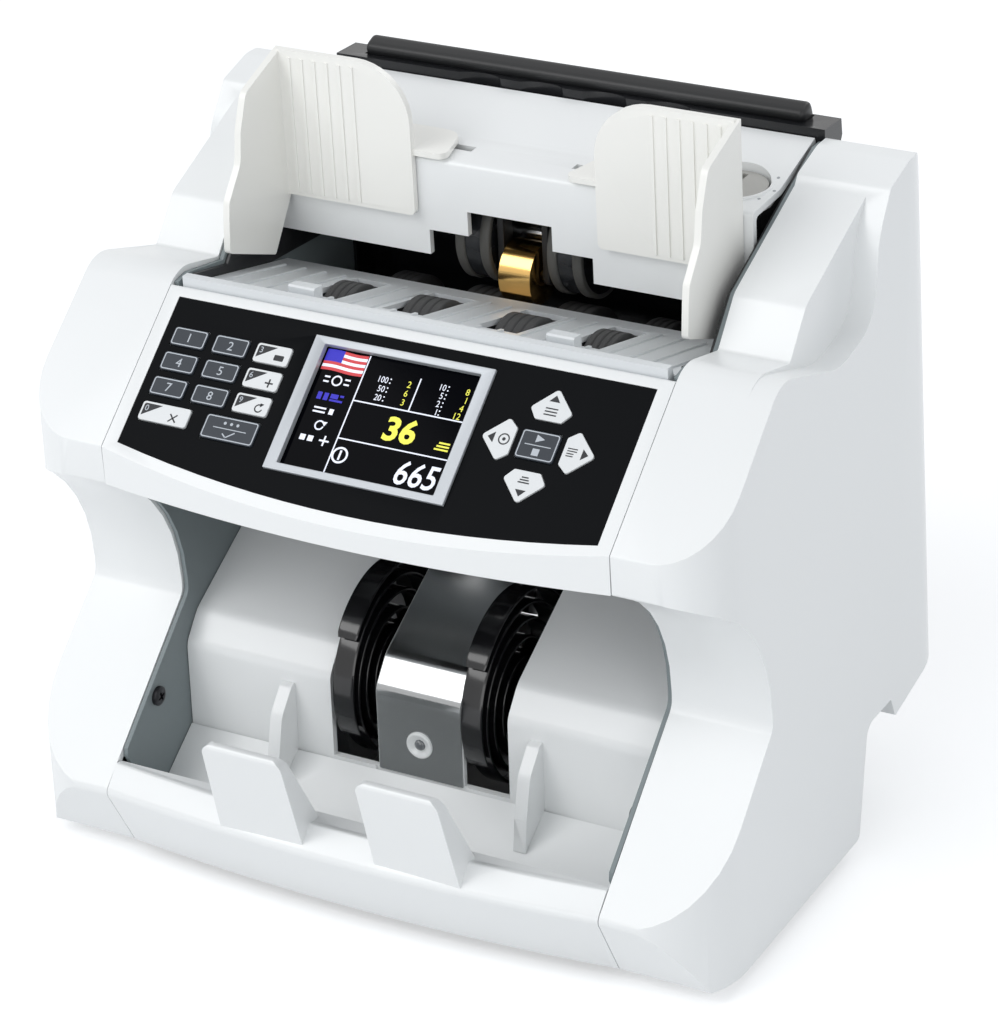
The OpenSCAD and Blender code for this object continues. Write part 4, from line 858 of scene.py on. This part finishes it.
# Signs of the white keys, around their own middle: a note with a lens, a plus, a loop and a cross.
note_sign = [box_outline(-2.2, -1.0, 1.4, 1.0, 0.3, 3)]
plus_sign = [box_outline(-1.5, -0.28, 1.5, 0.28), box_outline(-0.28, 0.28, 0.28, 1.5),
             box_outline(-0.28, -1.5, 0.28, -0.28)]
loop_sign = [*stroke(arc_points(0.0, 0.0, 1.3, 60, 340, 12), 0.42),
             [(0.35, 0.45), (1.6, 1.7), (0.1, 1.9)]]
cross_sign = [*stroke([(-1.2, -1.2), (1.2, 1.2)], 0.5), *stroke([(-1.2, 1.2), (1.2, -1.2)], 0.5)]
sign_drop = 0.9
for digit, u, v, wide, signs, shift in (
    ("3", -46.0, 43.1, key_wide, note_sign, 3.2), ("6", -46.0, 33.9, key_wide, plus_sign, 3.0),
    ("9", -46.0, 24.7, key_wide, loop_sign, 3.0), ("0", -75.4, 15.3, 18.4, cross_sign, 3.6),
):
    key_cap(digit, key_white)
    left, low, top = u - wide / 2.0, v - key_tall / 2.0, v + key_tall / 2.0
    corner = [(left + 0.75, top - 1.2), (left + 0.75, low + 1.5), (left + 7.6, top - 0.75),
              (left + 1.2, top - 0.75)]
    built("key_shade_" + digit, marks([corner]) + marks(signs, u + shift, v - sign_drop),
          print_dark, "key_" + digit)
    built("key_print_" + digit, [numerals(digit, left + 2.1, top - 2.35, 2.1, proud_span)],
          print_pale, "key_" + digit)

# The two wide slate keys: a rule across the middle, with dots over a tick, and a triangle over a
# square.
start_u, start_v = 56.7, 30.5
enter_signs = [box_outline(-6.2, -0.15, 6.2, 0.15),
               *(arc_points(du, 1.9, 0.55, 0, 330, 12) for du in (-2.4, 0.0, 2.4)),
               *stroke([(-1.9, -1.9), (-0.5, -3.0), (2.2, -0.95)], 0.42)]
start_signs = [box_outline(-4.6, -0.15, 4.6, 0.15), [(-1.3, 1.0), (1.7, 2.35), (-1.3, 3.7)],
               box_outline(-1.2, -3.5, 1.2, -1.1)]
for key, u, v, wide, tall, signs in (("enter", -50.0, 14.6, 20.0, 8.6, enter_signs),
                                     ("start", start_u, start_v, 13.6, 10.0, start_signs)):
    key_cap(key, key_slate)
    built("key_print_" + key, [key_rim(u, v, wide, tall), *marks(signs, u, v)],
          print_pale, "key_" + key)

# Cursor keys round the start key: a solid triangle near the outer corner and a sign inside of it.
cursor_reach, sign_in = 12.9, 0.9
arrow_sign = ((-1.9, 2.6), (1.9, 2.6), (0.0, 4.9))
bars_sign = [box_outline(-2.2, dv - 0.22, 2.2, dv + 0.22) for dv in (-1.1, 0.0, 1.1)]
coin_sign = [arc_points(0.0, 0.0, 0.6, 0, 330, 14)]
sheet_sign = [box_outline(-1.7, dv - 0.18, 1.7 - 0.9 * (dv < 0), dv + 0.18)
              for dv in (-1.3, -0.45, 0.45, 1.3)]
stack_sign = [box_outline(-2.0 + 0.4 * k, -1.2 + 0.9 * k, 2.0 - 0.4 * k, -0.75 + 0.9 * k)
              for k in range(3)]
for key, turn, signs in (("up", 0.0, bars_sign), ("left", 90.0, coin_sign),
                         ("down", 180.0, stack_sign), ("right", 270.0, sheet_sign)):
    cos, sin = math.cos(math.radians(turn)), math.sin(math.radians(turn))
    u, v = start_u - cursor_reach * sin, start_v + cursor_reach * cos
    su, sv = u + sign_in * sin, v - sign_in * cos
    key_cap(key, key_white)
    arrow = [(x * cos - y * sin, x * sin + y * cos) for x, y in arrow_sign]
    parts = marks([arrow], u, v) + marks(signs, su, sv)
    if key == "left":
        parts.append(circle_ring(su, sv, (2.0, 1.55), 345, 24, print_span))
    built("key_sign_" + key, parts, print_dark, "key_" + key)

# ---- Hopper floor ----
# Pale grey ribbed moulding that the notes to be counted lie on, with two small blocks that stop
# their front edge.

floor_grey = finish("floor_grey", (0.74, 0.765, 0.78), (0.34, 0.34), fine=1200, height=5e-6,
                    shade=1.0)
eased("hopper_floor", "hopper_floor_shell", floor_grey, 0.0003)

# ---- Hopper cheeks ----
# Black moulded plates that line the hopper's sides, fixed inside the side frames. Their tops rise
# towards the back.
# Their black is partly the plates' own colour and partly painted shade: it stands in for the shade
# that falls in the gap between the note guides and the casings.

# Black finish of the cheeks, partly painted shade for the gap between the guides and the casings.
cheek_black_and_painted_shade = finish("cheek_black_and_painted_shade", (0.020, 0.021, 0.023), (0.36, 0.48), fine=1500, shade=1.3)
eased("hopper_cheeks", "cheek_plates", cheek_black_and_painted_shade, 0.0003)

# ---- Top cover ----
# White moulding behind the note guides, with a stepped window for the separator rollers, slots
# for the guides' tongues and a sunk cup for the gap dial. Small grey dots ring the cup.

eased("top_cover", "cover_shell", shell_white, 0.0006, 3)
dial_x, dial_y = 74.0, 133.6
dot_radius, dot_ring, dot_count, dot_lifts = 0.55, 14.6, 12, (-0.3, 0.1)
cover_z, crown_y, crown, knee_y, cover_slope = 222.0, 115.5, 0.4, 136.0, 7.1 / 26.4


def dial_dot(turn):
    """A round printed dot on the cover at an angle round the dial. The cover rises evenly by
    crown up to its knee, and by cover_slope behind it."""
    around = full_turn(14)
    x = dial_x + dot_ring * math.cos(turn) + dot_radius * np.cos(around)
    y = dial_y + dot_ring * math.sin(turn) + dot_radius * np.sin(around)
    z = (cover_z + crown * np.clip((y - crown_y) / (knee_y - crown_y), 0.0, 1.0)
         + cover_slope * np.clip(y - knee_y, 0.0, None))
    return grid_faces(cad_points(x, y, z + np.array(dot_lifts)[:, None]), lids=True)


print_grey = finish("print_grey", (0.36, 0.38, 0.40), (0.40, 0.50), fine=3000, height=4e-6)
dot_parts = [dial_dot(math.radians(360.0 / dot_count * k)) for k in range(dot_count)]
built("dial_dots", dot_parts, print_grey)

# ---- Gap dial ----
# A thumb dial of ivory plastic with a slot, sunk in the cover. It sets the gap between the
# separator rollers.

dial_ivory = finish("dial_ivory", (0.46, 0.455, 0.43), (0.34, 0.44), fine=1400, height=1.2e-5,
                    shade=0.95)
eased("gap_dial", "dial_disc", dial_ivory, 0.0004, 3, "dial")

# ---- Note guides and their pinion ----
# Two ivory mouldings with ribbed rear panels and side wings. Racks under the cover and a small
# pinion between them make both slide together.

guide_ivory = finish("guide_ivory", (0.93, 0.925, 0.885), (0.31, 0.31), fine=700, height=2.5e-6,
                     coat=0.1, shade=1.0)
for body in ("left_guide", "right_guide"):
    eased(body, body + "_moulding", guide_ivory, 0.00024, 3, body, flat=False)
pinion_nylon = finish("pinion_nylon", (0.78, 0.78, 0.74), (0.34, 0.44), fine=1500, height=1e-5)
repaint(pinion_nylon, "guide_pinion")

# ---- Rear door and grip bar ----
# Black mouldings at the back: a tall door that drops open at its low hinge, finger scallops along
# its top edge, and a thick grip bar with flattened sides that is fixed to it.

door_black = finish("door_black", (0.009, 0.0095, 0.011), (0.18, 0.26), fine=1300, height=1.2e-5,
                    specular=0.45, shade=1.3)
eased("rear_door", "rear_door_shell", door_black, 0.0005, 3, "door")

bar_half, bar_r, bar_y, bar_z = 83.6, 3.906, 170.9, 233.6
bar_ends = ((0.98, 1.0), (0.986, 0.985), (0.992, 0.93), (0.997, 0.80), (1.0, 0.55))
bar_steps, bar_power, bar_lean = 64, 3.4, math.radians(20.0)
# Its section is a superellipse of power bar_power, turned by bar_lean. Each end rounds off over
# bar_ends, as shares of half its length and of its thickness.
bar_share, bar_size = np.array([(-share, size) for share, size in bar_ends[::-1]]
                               + list(bar_ends)).T[..., None]
bar_turn = full_turn(bar_steps)
bar_round = (np.abs(np.cos(bar_turn)) ** bar_power
             + np.abs(np.sin(bar_turn)) ** bar_power) ** (-1.0 / bar_power) * bar_size * bar_r
bar_grid = cad_points(bar_share * bar_half, bar_y + bar_round * np.cos(bar_turn + bar_lean),
                      bar_z + bar_round * np.sin(bar_turn + bar_lean))
bar_black = finish("bar_black", (0.010, 0.0105, 0.0115), (0.34, 0.44), fine=1500, height=3e-5,
                   specular=0.4, shade=1.4)
built("grip_bar_moulding", [grid_faces(bar_grid, lids=True)], bar_black,
      "door", ("grip_bar",), 50.0)

# ---- Power inlet ----
# A mains socket of black plastic, riveted into the rear panel, with three pins of tinned brass
# in its well.

inlet_black = finish("inlet_black", (0.014, 0.014, 0.015), (0.30, 0.42), fine=1400)
eased("power_inlet", "inlet_socket", inlet_black, 0.0004)
inlet_pins = ((-69.0, 29.0), (-62.0, 32.0), (-55.0, 29.0))
pin_half_x, pin_half_z, pin_low_y, pin_end_y = 1.15, 2.15, 153.2, 166.3
# Each place along a pin's chamfer: how far before its end, and the share of its width there.
pin_chamfer = ((1.2, 1.0), (0.4, 0.86), (0.0, 0.6))


def inlet_pin(x, z):
    """A flat pin whose end is chamfered."""
    along, grow = np.array([(pin_low_y, 1.0)] + [
        (pin_end_y - before, share) for before, share in pin_chamfer]).T[..., None]
    across, up = pin_half_x * np.array([-1, 1, 1, -1]), pin_half_z * np.array([-1, -1, 1, 1])
    return grid_faces(cad_points(x + grow * across, along, z + grow * up), lids=True)


pin_tin = finish("pin_tin", (0.62, 0.60, 0.54), (0.20, 0.30), metallic=1.0, height=6e-6,
                 lines=("y", 4000))
built("inlet_pin_set", [inlet_pin(*place) for place in inlet_pins], pin_tin, sharp=20.0)

# ---- Power rocker ----
# The mains switch: a rocker of black plastic in the rear panel, with a white bar for on and a
# ring for off.

eased("power_rocker", "rocker_key", inlet_black, 0.0004, body="rocker")
# The middle of its face, the half height, and how far its top stands behind its foot.
rocker_x, rocker_y, rocker_z, rocker_half, rocker_tilt = -34.0, 171.9, 30.0, 8.4, 1.0
mark_span = (-0.2, 0.12)


def on_rocker(u, v, h):
    """Points on the rocker's face: u across it and v up it from its middle, and h out of it, in
    millimetres."""
    run = math.hypot(rocker_tilt, 2.0 * rocker_half)
    rise_y, rise_z = rocker_tilt / run, 2.0 * rocker_half / run
    return cad_points(rocker_x + u, rocker_y + v * rise_y + h * rise_z,
                      rocker_z + v * rise_z - h * rise_y)


def rocker_mark(outer, inner=None):
    """A printed mark between two outlines of (u, v) points, or inside of one, sunk a little into
    the face."""
    u, v = np.array(outer, float).T
    rows = [on_rocker(u, v, h) for h in mark_span]
    if inner:
        u, v = np.array(inner, float).T
        rows += [on_rocker(u, v, h) for h in mark_span[::-1]]
    return grid_faces(np.stack(rows), ring=bool(inner), lids=not inner)


mark_white = finish("mark_white", (0.80, 0.81, 0.82), (0.36, 0.44), fine=3000, height=4e-6)
off_v, off_radii = 4.3, (1.9, 1.45)
off_ring = [[(r * math.cos(t), off_v + r * math.sin(t)) for t in full_turn(32)]
            for r in off_radii]
on_bar = box_outline(-0.25, -5.9, 0.25, -2.4)
built("rocker_marks", [rocker_mark(on_bar), rocker_mark(*off_ring)], mark_white,
      "rocker")
